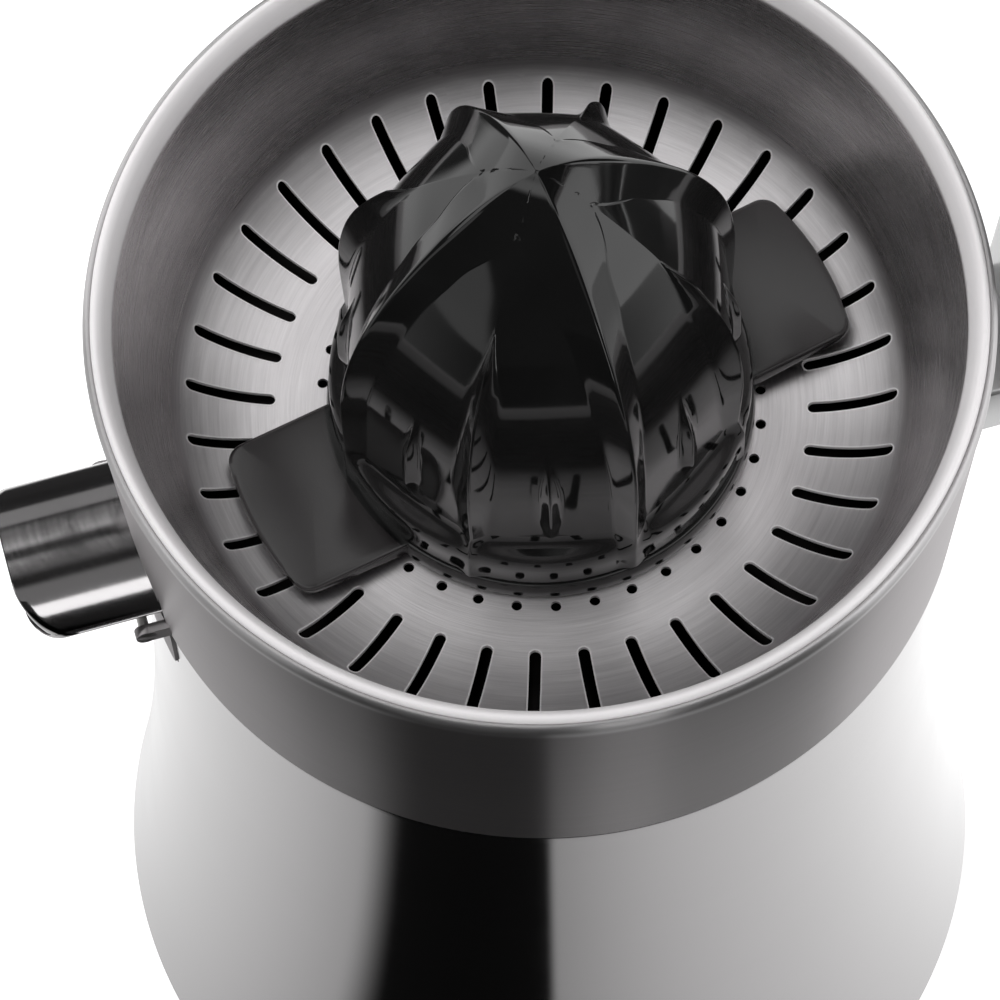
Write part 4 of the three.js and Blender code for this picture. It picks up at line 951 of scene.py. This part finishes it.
def at_share(stops, share, curved=True):
    """The value at a share of the height, between stops that run from the tip down."""
    k = next((i for i, (place, _) in enumerate(stops) if place <= share), len(stops) - 1)
    if k == 0:
        return stops[0][1]

    def slope(i):
        i = min(max(i, 1), len(stops) - 2)
        return (stops[i + 1][1] - stops[i - 1][1]) / (stops[i + 1][0] - stops[i - 1][0])

    (above, at_above), (below, at_below) = stops[k - 1], stops[k]
    t, width = (share - below) / (above - below), above - below
    if curved:
        return swept(t, width, at_below, slope(k), at_above, slope(k - 1))
    return at_below + (at_above - at_below) * t


def ease(low, high, value):
    t = min(max((value - low) / (high - low), 0), 1)
    return t * t * (3 - 2 * t)


def chord(angle, a, radius_a, b, radius_b):
    """Radius at an angle on the straight line between two points given by angle and radius."""
    spread = radius_a * math.sin(math.radians(angle - a)) + radius_b * math.sin(math.radians(b - angle))
    return radius_a * radius_b * math.sin(math.radians(b - a)) / spread


class PRESS_OT_reamer(Operator):
    """Build the ridged reamer cone"""

    bl_idname = "press.reamer"
    bl_label = "Reamer cone"

    def execute(self, context):
        sizes = context.scene.press_sizes
        low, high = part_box("reamer_cone")
        foot, height = low.z, high.z - low.z
        first_ridge, half, foot_flank = math.radians(9.9), 45.0, 4.5
        tooth_at, tooth_tall = 22.5, 2.2 * MM / sizes.reamer_radius

        def turn_of(column, flank):
            if column <= foot_flank:
                return flank * column / foot_flank
            return flank + (half - flank) * (column - foot_flank) / (half - foot_flank)

        def radius(column, share, flank, body):
            """Radius as a share of the ridge's, from a ridge at 0 degrees to a fin at 45."""
            column = abs(column)
            if column > half:
                column = 2 * half - column
            angle = turn_of(column, flank)
            if angle <= flank:
                place = chord(angle, 0, 1, flank, body)
            else:
                flat = chord(angle, flank, body, half, body)
                place = flat + (body - flat) * max(0.3, 1 - ease(0.096, 0.15, share))
            away = half - column
            wide = 6.5 * min(1, ease(0.8, 0.6, share) * 1.2) * (1 - 0.35 * ease(0.35, 0.1, share)) + 0.3
            crest = max(0, at_share(FIN_STOPS, share, False) - body) * ease(0.8, 0.75, share)
            if away < wide:
                place += crest * (1 - away / wide) ** 1.7
            tooth = ease(0.14, 0.24, share) * (1 - ease(0.32, 0.5, share))
            off, spread = abs(column - tooth_at), 1.2 + 2.4 * tooth
            if tooth > 0 and off < spread:
                place += tooth_tall * tooth * (1 - off / spread) ** 1.4
            return place

        marks = [0, 0.25, 0.5, 0.9, 1.5, 2.4, 3.4, 4.1, 4.5, 4.9, 5.6, 7, 9.5, 12.5, 15.5, 18]
        marks += [19, 19.8, 20.6, 21.3, 21.9, 22.25, 22.5, 22.75, 23.1, 23.7, 24.4, 25.2, 26, 28, 31, 34]
        marks += [37, 38.5, 39.6, 40.6, 41.6, 42.5, 43.3, 43.9, 44.4, 44.7, 45]
        rings, count = 150, 8 * (len(marks) - 1)
        points, faces = [(0, 0, high.z)], []
        for k in range(1, rings + 1):
            share = 1 - (k / rings) ** 1.25
            ridge = sizes.reamer_radius * at_share(RIDGE_STOPS, share)
            flank = max(foot_flank, min(FLANK_STOPS[0][1], at_share(FLANK_STOPS, share, share < 0.89)))
            body = at_share(BODY_STOPS, share)
            row = []
            for column in marks:
                blur = [radius(column + 0.3 * d, share, flank, body) for d in (-1, -0.5, 0, 0.5, 1)]
                row.append((turn_of(column, flank), ridge * sum(blur) / 5))
            quarter = row[:-1] + [(2 * half - a, r) for a, r in row[:0:-1]]
            for q in range(4):
                for a, r in quarter:
                    turn = math.radians(a + 90 * q) + first_ridge
                    points.append((r * math.cos(turn), r * math.sin(turn), foot + height * share))
        for i in range(count):
            j = (i + 1) % count
            faces.append([0, 1 + i, 1 + j])
            for k in range(rings - 1):
                a, b = 1 + k * count + i, 1 + k * count + j
                faces.append([a, a + count, b + count, b])
        faces.append([1 + (rings - 1) * count + i for i in range(count)][::-1])
        cone = outward(new_piece("reamer_ridged", points, faces))
        fit(cone, "shaft", gloss_black(), "gloss_black", "reamer_cone", sharp=60)
        return {"FINISHED"}


class PRESS_OT_reamer_base(Operator):
    """Build the reamer's base ring and its two wings"""

    bl_idname = "press.reamer_base"
    bl_label = "Reamer base"

    def execute(self, context):
        bottom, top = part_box("reamer_base")[0].z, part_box("reamer_cone")[0].z
        bore, outer, ring_foot = 33 * MM, 44.25 * MM, bottom - 0.8 * MM
        outline = [(bore, ring_foot), (outer, ring_foot), (outer, top - 2 * MM)]
        outline += [(outer - 0.5 * MM, top), (bore + 1.5 * MM, top), (bore, bottom + 2.4 * MM)]
        pieces = [lathe("ring", filleted(outline, 0.5 * MM, 4), 256)]
        root, half, reach, corner = 39 * MM, 18.2 * MM, 65.8 * MM, 4 * MM
        tip = math.asin((half - corner) / (reach - corner))
        middle_x, middle_y = (reach - corner) * math.cos(tip), -(reach - corner) * math.sin(tip)
        bend = arc(corner, -math.pi / 2, -tip, 8, (middle_x, middle_y))
        outline = [(root, -half), *bend]
        outline += [(reach * math.cos(tip * k / 8), reach * math.sin(tip * k / 8)) for k in range(-7, 8)]
        outline += [(x, -y) for x, y in bend[::-1]]
        outline.append((root, half))
        for turn in (101.7, 281.7):
            wing = wing_mesh(outline, bottom, 3.5 * MM, 0.9 * MM, half)
            wing.data.transform(Matrix.Rotation(math.radians(turn), 4, "Z"))
            pieces.append(wing)
        base = fuse("reamer_wings", pieces)
        fit(base, "shaft", satin_black(), "satin_black", "reamer_base", sharp=40)
        return {"FINISHED"}


def wing_mesh(outline, bottom, thickness, crown, half):
    """A wing with a rounded edge, crowned top and an underside that clears the strainer's dish."""
    root, tip = min(p[0] for p in outline), max(p[0] for p in outline)
    centre = Vector(((root + tip) / 2, 0))
    edge, lengthwise, dish_slope = 1.1 * MM, 0.7 * MM, 0.29

    def top_at(px, py):
        along, across = (px - centre.x) / (tip - centre.x), py / half
        crowned = crown * (1 - across**2) + lengthwise * (1 - min(1, along * along))
        return bottom + thickness + crowned

    rows = []
    for inset, drop in ((1.0, 0.0), (0.35, 0.03), (0.1, 0.25), (0.0, 0.6), (0.0, 1.0)):
        row = []
        for x, y in outline:
            inward = (centre - Vector((x, y))).normalized() * inset * edge
            if x < root + edge / 2:
                inward.x = 0
            px, py = x + inward.x, y + inward.y
            under = bottom + max(0.0, (math.hypot(px, py) - SLOT_ENDS[0]) * dish_slope)
            row.append((px, py, top_at(px, py) - drop * edge if drop < 1 else under))
        rows.append(row)
    points, faces = [], []
    n, grid = len(outline), 14
    for k in range(grid):
        share = k / grid
        for x, y, _ in rows[0]:
            px, py = centre.x + (x - centre.x) * share, y * share
            points.append((px, py, top_at(px, py)))
    for row in rows:
        points += row
    last = (grid + len(rows) - 1) * n
    for start in range(0, last, n):
        for i in range(n):
            j = (i + 1) % n
            faces.append([start + i, start + j, start + n + j, start + n + i])
    faces.append([last + i for i in range(n)])
    return outward(new_piece("wing", points, faces))


class PRESS_OT_base(Operator):
    """Build the base plate with its vents, the four feet and the cord inlet"""

    bl_idname = "press.base"
    bl_label = "Base, feet and inlet"

    def execute(self, context):
        low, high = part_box("base_plate")
        wide, beyond = high.x, 2 * MM
        side = [(10 * MM, low.z), (wide, low.z), (wide - 0.9 * MM, high.z), (10 * MM, high.z)]
        outline = [(0, low.z), *filleted(side, 0.6 * MM, 3, False), (0, high.z)]
        plate = lathe("base_plate_moulded", outline, 192, closed=False)
        vents, count = [], 12
        vent_shape = filleted(oblong(44 * MM, -2 * MM, 70 * MM, 2 * MM), 1.9 * MM, 5)
        for i in range(count):
            vent = slab("vent", vent_shape, low.z - beyond, high.z + beyond)
            vent.data.transform(Matrix.Rotation(TURN * i / count, 4, "Z"))
            vents.append(vent)
        cut(plate, fuse("vents", vents))
        fit(plate, "column", moulded_nylon(), "matte_plastic", "base_plate")
        for node in ("foot_front_right", "foot_back_right", "foot_back_left", "foot_front_left"):
            low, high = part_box(node)
            centre = middle(node)
            reach = (high.x - low.x) / 2
            side = [(0.5 * MM, low.z), (0.9 * reach, low.z), (reach, centre.z), (reach, high.z)]
            outline = [(0, low.z), *filleted(side, 0.5 * MM, 4, False), (0, high.z)]
            foot = lathe(node + "_pad", outline, 64, closed=False, about=(centre.x, centre.y))
            fit(foot, "column", black_rubber(), "rubber", node)
        outline = filleted(
            [(3.4, -12), (6, -12), (6, 0.3), (9.5, 0.3), (9.2, 2.4), (7.1, 6), (3.4, 6)], 0.6, 4
        )
        inlet = lathe("cord_inlet_moulded", [(r * MM, z * MM) for r, z in outline], 72)
        heading, lean, place = math.radians(65), math.radians(-90 + 9.3), (0, 99.7 * MM, 19 * MM)
        turn = Matrix.Rotation(heading, 4, "Z") @ Matrix.Translation(place) @ Matrix.Rotation(lean, 4, "X")
        inlet.data.transform(turn)
        fit(inlet, "column", black_rubber(), "rubber", "cord_inlet")
        return {"FINISHED"}


class PRESS_OT_drive(Operator):
    """Finish the deck, gears, shaft and motor that the model carries over"""

    bl_idname = "press.drive"
    bl_label = "Drive and motor"

    def execute(self, context):
        finishes = {
            "matte_plastic": moulded_nylon,
            "brass": turned_brass,
            "rubber": black_rubber,
            "dark_steel": ground_steel,
            "cast_aluminium": cast_metal,
            "copper": wound_copper,
            "polished_steel": column_steel,
            "brushed_steel": bowl_steel,
            "gloss_black": gloss_black,
            "satin_black": satin_black,
        }
        for part in frame["record"]["subparts"]:
            node = frame["nodes"][part["node"]]
            node.data.materials.clear()
            node.data.materials.append(finishes[part["material_slot"]]())
        return {"FINISHED"}


class PRESS_OT_bracket(Operator):
    """Build the hinge bracket with its fork, and the hinge pin"""

    bl_idname = "press.bracket"
    bl_label = "Hinge bracket"

    def execute(self, context):
        low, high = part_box("hinge_bracket")
        pivot = joint_place("lever_swing")
        yoke, half, waist, fork_half = 14.5 * MM, 17 * MM, 3.6 * MM, 10.3 * MM
        front, back, neck_low = 0.103, high.y, max(low.z, 0.2)
        centre = neck_low + (high.z - yoke - neck_low) * 0.45
        bend = [(back + a * yoke, neck_low + b * yoke) for a, b in ((-0.6, 0), (-0.15, 0.15), (0, 0.6))]
        outline = [(front, neck_low), *through(bend, 5), (back - waist, centre)]
        outline += [*arc(yoke, 0, math.pi, 24, (pivot.y, pivot.z)), (front + waist, centre)]
        tower = slab("tower", outline, -half, half, "X")
        fork_low, beyond = high.z - 29.3 * MM, 10 * MM
        fork_corner = (fork_half, back + beyond, high.z + beyond)
        cut(tower, block("slot", (-fork_half, front - beyond, fork_low), fork_corner))
        soften(tower, 2 * MM, 4, 40)
        neck = block("neck", (-15 * MM, 79 * MM, neck_low), (15 * MM, front + 2 * MM, neck_low + 18 * MM))
        soften(neck, 1 * MM, 3)
        foot_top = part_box("motor_deck")[0].z - 0.3 * MM
        foot = block("foot", (-26 * MM, 40 * MM, foot_top - 4 * MM), (26 * MM, 81 * MM, foot_top))
        soften(foot, 0.8 * MM, 3)
        bracket = fuse("hinge_bracket_cast", [tower, neck, foot])
        fit(bracket, "column", cast_metal(), "cast_aluminium", "hinge_bracket")
        pin_low, pin_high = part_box("hinge_pin")
        seat, head = half + 0.3 * MM, 6.4 * MM
        shank = rod("shank", 4 * MM, pin_low.x, seat, pivot.y, pivot.z, 64, 0.4 * MM)
        knob = rod("head", head, seat, pin_high.x, pivot.y, pivot.z, 64, 0.7 * MM)
        pin = fuse("hinge_pin_turned", [shank, knob])
        fit(pin, "column", column_steel(), "polished_steel", "hinge_pin")
        cap_low, cap_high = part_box("hinge_pin_cap")
        cap = rod("hinge_pin_cap_turned", head, cap_low.x, cap_high.x, pivot.y, pivot.z, 64, 0.6 * MM)
        fit(cap, "column", column_steel(), "polished_steel", "hinge_pin_cap")
        return {"FINISHED"}


def joint_place(name):
    joint = next(j for j in frame["joints"] if j["name"] == name)
    return Vector(joint["pos_m"])


def raised(piece):
    """Turns a piece drawn about the lever's hinge, arm down, to where the raised arm holds it."""
    swing = math.radians(-100)
    piece.data.transform(Matrix.Translation(joint_place("lever_swing")) @ Matrix.Rotation(swing, 4, "X"))
    return outward(piece)


ARM_REACH, ARM_RISE, DOME_PIN_RISE = 118 * MM, 40 * MM, 23 * MM


class PRESS_OT_lever(Operator):
    """Build the lever arm, its grip and the dome's pin"""

    bl_idname = "press.lever"
    bl_label = "Lever arm"

    def execute(self, context):
        half, tongue, pin_side = 10 * MM, 6 * MM, 7.3 * MM
        sweep = ((0.16, 0.5), (0.4, 0.86), (0.72, 1), (1, 1), (1.25, 0.98))
        centre = through([(-ARM_REACH * y, ARM_RISE * z) for y, z in sweep], 8)
        upper, lower, last = [], [], len(centre) - 1
        for i, (y, z) in enumerate(centre):
            along = (Vector(centre[min(i + 1, last)]) - Vector(centre[max(i - 1, 0)])).normalized()
            thick = 7.5 * MM * (1 + 0.45 * (1 - i / last) ** 2)
            upper.append((y + along.y * thick, z - along.x * thick))
            lower.append((y - along.y * thick, z + along.x * thick))
        blade = slab("blade", upper + lower[::-1], -half, half, "X")
        soften(blade, 2.4 * MM, 4, 50)
        hub = rod("hub", 13 * MM, -half - 0.1 * MM, half + 0.1 * MM, 0, 0, 96, 0.8 * MM)
        gusset = [(-5.2, -11.7), (-26, 12), (-23.6, 30), (0, 12.4)]
        web = slab("web", [(y * MM, z * MM) for y, z in gusset], -half + 0.2 * MM, half - 0.2 * MM, "X")
        soften(web, 1.2 * MM, 3)
        pieces = [blade, hub, web]
        for side in (-1, 1):
            x0, x1 = sorted((side * tongue, side * half))
            pieces.append(rod("lug", 7.5 * MM, x0, x1, -ARM_REACH, DOME_PIN_RISE, 64, 0.5 * MM))
            x0, x1 = sorted((side * tongue, side * (half - 0.25 * MM)))
            low, high = (x0, -ARM_REACH - pin_side, DOME_PIN_RISE), (x1, -ARM_REACH + pin_side, ARM_RISE)
            pieces.append(block("cheek", low, high))
        tilt = Matrix.Rotation(math.radians(8.3), 4, "X")
        tilt = Matrix.Translation((0, -168 * MM, ARM_RISE - 1 * MM)) @ tilt
        tang = block("tang", (-6.5 * MM, -85 * MM, -4.5 * MM), (6.5 * MM, 24 * MM, 4.5 * MM))
        tang.data.transform(tilt)
        soften(tang, 0.8 * MM, 3)
        arm = raised(fuse("lever_arm_cast", [*pieces, tang]))
        fit(arm, "lever", cast_metal(), "cast_aluminium", "lever_arm")
        grip_length, wide, tall = 104 * MM, 32 * MM, 23 * MM
        profile = [(0.78, 0.0), (0.86, 0.02), (1.0, 0.1), (0.97, 0.28), (0.93, 0.5), (0.97, 0.68)]
        profile += [(1.0, 0.82), (0.9, 0.92), (0.66, 0.975), (0.3, 0.998), (0.0, 1.0)]
        side = [(max(r, 0) * tall / 2, share * grip_length) for r, share in through(profile, 5)]
        grip = lathe("handle_grip_moulded", [(0, 0), *side], 96, closed=False)
        along_tang = Matrix.Translation((0, -0.3 * MM, 0)) @ Matrix.Rotation(math.pi / 2, 4, "X")
        grip.data.transform(tilt @ along_tang @ Matrix.Diagonal((wide / tall, 1, 1, 1)))
        fit(raised(grip), "lever", satin_black(), "satin_black", "handle_grip")
        reach = half + 0.4 * MM
        pin = raised(rod("dome_pin_turned", 3 * MM, -reach, reach, -ARM_REACH, DOME_PIN_RISE, 48, 0.3 * MM))
        fit(pin, "lever", ground_steel(), "dark_steel", "dome_pin")
        return {"FINISHED"}


class PRESS_OT_dome(Operator):
    """Build the press dome, its ear and its ribbed black lining"""

    bl_idname = "press.dome"
    bl_label = "Press dome"

    def execute(self, context):
        rest = Matrix.Rotation(math.radians(9), 4, "X")
        place = Matrix.Translation((0, -ARM_REACH, DOME_PIN_RISE)) @ rest
        rim, quarter = -80 * MM, math.pi / 2

        def cap(radius, tall, rows):
            turns = [quarter * i / rows for i in range(rows)]
            side = [(radius * math.cos(turn), rim + tall * math.sin(turn)) for turn in turns]
            return [*side, (0, rim + tall)]

        outer, inner = cap(64 * MM, 69 * MM, 40), cap(61.6 * MM, 66.6 * MM, 40)
        bead = [(61.6 * MM, rim + 0.4 * MM), (62 * MM, rim), (63.6 * MM, rim), (64 * MM, rim + 0.4 * MM)]
        shell = lathe("shell", inner[::-1][:-1] + bead + outer[1:], 192, closed=False)
        half = 5.6 * MM
        ear = rod("ear", 7 * MM, -half, half, 0, 0, 64, 0.5 * MM)
        neck = block("neck", (-half, -7 * MM, rim + 66.8 * MM), (half, 7 * MM, 0))
        soften(neck, 0.6 * MM, 3)
        dome = fuse("press_dome_spun", [shell, ear, neck])
        dome.data.transform(place)
        fit(raised(dome), "dome", dome_steel(), "brushed_steel", "press_dome")
        out_r, out_h, wall = 61.3 * MM, 66.3 * MM, 2 * MM
        in_r, in_h = out_r - wall, out_h - wall
        rows, ribs, steps = 48, 8, 8 * 24
        points, faces = [], []

        def add_cap(size_at):
            """Adds a domed grid of points and faces, with a radius and height at each turn and angle."""
            start = len(points)
            for k in range(rows):
                angle = quarter * k / rows
                for i in range(steps):
                    turn = TURN * i / steps
                    r, h = size_at(turn, angle)
                    flat = r * math.cos(angle)
                    points.append((flat * math.cos(turn), flat * math.sin(turn), rim + h * math.sin(angle)))
            points.append((0, 0, rim + size_at(0, quarter)[1]))
            top = len(points) - 1
            for row in range(start, top, steps):
                for i in range(steps):
                    a, b = row + i, row + (i + 1) % steps
                    faces.append([a, b, b + steps, a + steps] if row + steps < top else [a, b, top])
            return start

        def ribbed(turn, angle):
            part = turn / TURN * ribs % 1 - 0.5
            across = abs(part) * TURN / ribs * in_r * max(math.cos(angle), 0.25)
            rib = 1 - ease(0.7 * MM, 1.6 * MM, across)
            rib *= ease(0.06, 0.14, angle) * (1 - ease(1.1, 1.25, angle))
            return in_r - 1.2 * MM * rib, in_h - 1.2 * MM * rib

        a, b = add_cap(lambda turn, angle: (out_r, out_h)), add_cap(ribbed)
        for i in range(steps):
            j = (i + 1) % steps
            faces.append([a + i, a + j, b + j, b + i])
        lining = new_piece("dome_lining_moulded", points, faces)
        lining.data.transform(place)
        fit(raised(lining), "dome", gloss_black(), "gloss_black", "dome_lining")
        return {"FINISHED"}


def light_path(board):
    """Whether the camera, a mirror or glass looks."""
    path = board.make("ShaderNodeLightPath")
    rays = ("Is Camera Ray", "Is Glossy Ray", "Is Transmission Ray")
    return [Wire(board, path.outputs[name]) for name in rays]


def around(board, x, y):
    """Heading of a point or direction in the studio, in radians."""
    turn = math.radians(STUDIO_HEADING)
    side = x * math.cos(turn) + y * math.sin(turn)
    away = y * math.cos(turn) - x * math.sin(turn)
    return away.math("ARCTAN2", side)


class PRESS_OT_stage(Operator):
    """Set the floor, the soft lights, the white surround and the camera"""

    bl_idname = "press.stage"
    bl_label = "Stage and camera"

    def execute(self, context):
        scene = context.scene
        view = scene.press_camera
        lens = bpy.data.cameras.new("camera")
        camera = bpy.data.objects.new("camera", lens)
        scene.collection.objects.link(camera)
        lens.sensor_width = 36
        lens.lens = view.focal
        lens.clip_start, lens.clip_end = 0.05, 50
        ca, sa = math.cos(view.turn), math.sin(view.turn)
        ce, se = math.cos(view.elevation), math.sin(view.elevation)
        cr, sr = math.cos(view.roll), math.sin(view.roll)
        level, lift = Vector((ca, sa, 0)), Vector((-sa * se, ca * se, ce))
        ahead = Vector((-sa * ce, ca * ce, -se))
        right, up = cr * level + sr * lift, -sr * level + cr * lift
        turn = Matrix((right, up, -ahead)).transposed().to_4x4()
        camera.matrix_world = Matrix.Translation(Vector(view.place)) @ turn
        scene.camera = camera
        scene.view_settings.view_transform = "Standard"

        floor_height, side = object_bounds()[0].z, 6
        corners = [(x, y, floor_height) for x, y in oblong(-side, -side, side, side)]
        floor = new_piece("floor", corners, [[0, 1, 2, 3]])
        finish, board = new_finish("floor_card")
        seen, mirrored, through_glass = light_path(board)
        x, y, _ = board.place()
        card = board.add("ShaderNodeBsdfDiffuse", None, Color=(*scene.press_colours.floor, 1))
        white = board.add("ShaderNodeEmission", None, Color=(1, 1, 1, 1), Strength=0.62)
        both = board.add("ShaderNodeAddShader", None, card, white)
        heading = around(board, x, y)

        def sector(start, end, soft_start, soft_end):
            """The floor between two headings in degrees."""
            past_start = heading.over(math.radians(start), math.radians(soft_start))
            return past_start * (1 - heading.over(math.radians(end), math.radians(soft_end)))

        def towards(way):
            return (heading - math.radians(way)).math("COSINE")

        near = 1.12 - towards(-108) * 0.44 - towards(-108).math("MAXIMUM", 0.0) ** 8 * 0.35
        far = near * (0.85 - 0.81 * towards(-88).over(0.4, 0.35))
        fade = from_axis(x, y).over(0.26, 0.08)
        flag, behind = sector(-128.5, -91.2, 5, 1.2), sector(94, 124, 3, 3)
        lit = (near + (far - near) * fade) * (1 - flag * 0.985) * (1 - behind * fade * 0.97)
        black, full, gain = (0, 0, 0), (1, 1, 1), 2.0
        shade = board.blend(lit / gain, black, full)
        mirror = board.add("ShaderNodeEmission", None, Color=shade, Strength=gain)
        plain_view = board.add("ShaderNodeMixShader", None, seen, card, both)
        bright = mirrored.math("MAXIMUM", through_glass)
        board.surface(board.add("ShaderNodeMixShader", None, bright, plain_view, mirror))
        floor.data.materials.append(finish)
        floor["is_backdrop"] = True

        world = bpy.data.worlds.new("surround")
        world.use_nodes = True
        scene.world = world
        board = Board(world.node_tree)
        seen, mirrored, through_glass = light_path(board)
        x, y, z = board.place(board.add("ShaderNodeTexCoord", out="Generated"))
        heading, rise = around(board, x, y), z.math("ARCSINE")

        def panel(start, end, low_edge, high_edge, strength, soft=1.2):
            """A lit studio panel between two headings and two heights, in degrees."""
            corners, edge = (start, end, low_edge, high_edge), math.radians(soft)
            left, right, low, high = (math.radians(corner) for corner in corners)
            wide = heading.over(left, edge) * (1 - heading.over(right, edge))
            return wide * rise.over(low, edge) * (1 - rise.over(high, edge)) * strength

        panels = (
            panel(-32, 34, -8, 60, 1.9)
            + panel(158, 190, 20, 60, 1.5)
            + panel(-190, -162, 20, 60, 1.5)
            + panel(112, 152, -8, 60, 1.6)
            + panel(62, 92, -8, 34, 1.4)
            + panel(-156, -138, -20, 34, 0.7)
            + panel(-84, -70, -12, 17, 2.2, 1.6)
            + panel(-90, -64, 17, 46, 0.25, 4)
            + panel(96, 112, 22, 46, 0.34, 2)
            + (panel(-190, 190, 62, 81, 1.5, 5) + panel(34, 112, 52, 62, 1.3, 6))
            * (1 - panel(98, 114, 40, 100, 0.92, 1.5))
            * (1 - panel(-90, -64, 40, 100, 0.92, 1.5))
            + 0.03
        )
        gain = 2.5
        glow = board.blend(panels / gain, black, full)
        studio = board.add("ShaderNodeBackground", None, Color=glow, Strength=gain)
        soft_light = board.add("ShaderNodeBackground", None, Color=(1, 1, 1, 1), Strength=0.55)
        white_view = board.add("ShaderNodeBackground", None, Color=(1, 1, 1, 1), Strength=1.0)
        plain_view = board.add("ShaderNodeMixShader", None, seen, soft_light, white_view)
        bright = mirrored.math("MAXIMUM", through_glass)
        whole = board.add("ShaderNodeMixShader", None, bright, plain_view, studio)
        board.tree.links.new(whole.socket, board.make("ShaderNodeOutputWorld").inputs["Surface"])

        for name, place, size, power in (
            ("key_light", (0.9, -0.9, 1.6), 0.9, 9.0),
            ("fill_light", (-1.2, -0.3, 1.2), 1.1, 6.0),
            ("back_light", (-0.2, 1.3, 1.3), 0.9, 5.0),
        ):
            lamp = bpy.data.lights.new(name, "AREA")
            lamp.shape, lamp.size, lamp.energy = "SQUARE", size, power
            holder = bpy.data.objects.new(name, lamp)
            scene.collection.objects.link(holder)
            holder.location = place
            holder.visible_glossy = False
            aim = Vector((0, 0, 0.25)) - Vector(place)
            holder.rotation_euler = aim.to_track_quat("-Z", "Y").to_euler()
        return {"FINISHED"}


class PRESS_PT_sidebar(Panel):
    bl_label = "Juice Press"
    bl_idname = "PRESS_PT_sidebar"
    bl_space_type = "VIEW_3D"
    bl_region_type = "UI"
    bl_category = "Juice Press"

    def draw(self, context):
        scene = context.scene
        for group in (scene.press_sizes, scene.press_colours, scene.press_camera):
            box = self.layout.box()
            for name in group.__annotations__:
                box.prop(group, name)
        for operator in OPERATORS:
            self.layout.operator(operator.bl_idname)


OPERATORS = (
    PRESS_OT_stage,
    PRESS_OT_drive,
    PRESS_OT_column,
    PRESS_OT_bowl,
    PRESS_OT_basket,
    PRESS_OT_spout,
    PRESS_OT_reamer,
    PRESS_OT_reamer_base,
    PRESS_OT_base,
    PRESS_OT_bracket,
    PRESS_OT_lever,
    PRESS_OT_dome,
)
GROUPS = (PressSizes, PressColours, PressCamera)


def register():
    for kind in GROUPS + OPERATORS + (PRESS_PT_sidebar,):
        bpy.utils.register_class(kind)
    bpy.types.Scene.press_sizes = PointerProperty(type=PressSizes)
    bpy.types.Scene.press_colours = PointerProperty(type=PressColours)
    bpy.types.Scene.press_camera = PointerProperty(type=PressCamera)


def unregister():
    del bpy.types.Scene.press_camera
    del bpy.types.Scene.press_colours
    del bpy.types.Scene.press_sizes
    for kind in reversed(GROUPS + OPERATORS + (PRESS_PT_sidebar,)):
        bpy.utils.unregister_class(kind)


def main():
    register()
    for operator in OPERATORS:
        family, name = operator.bl_idname.split(".")
        getattr(getattr(bpy.ops, family), name)()


if __name__ == "__main__":
    main()
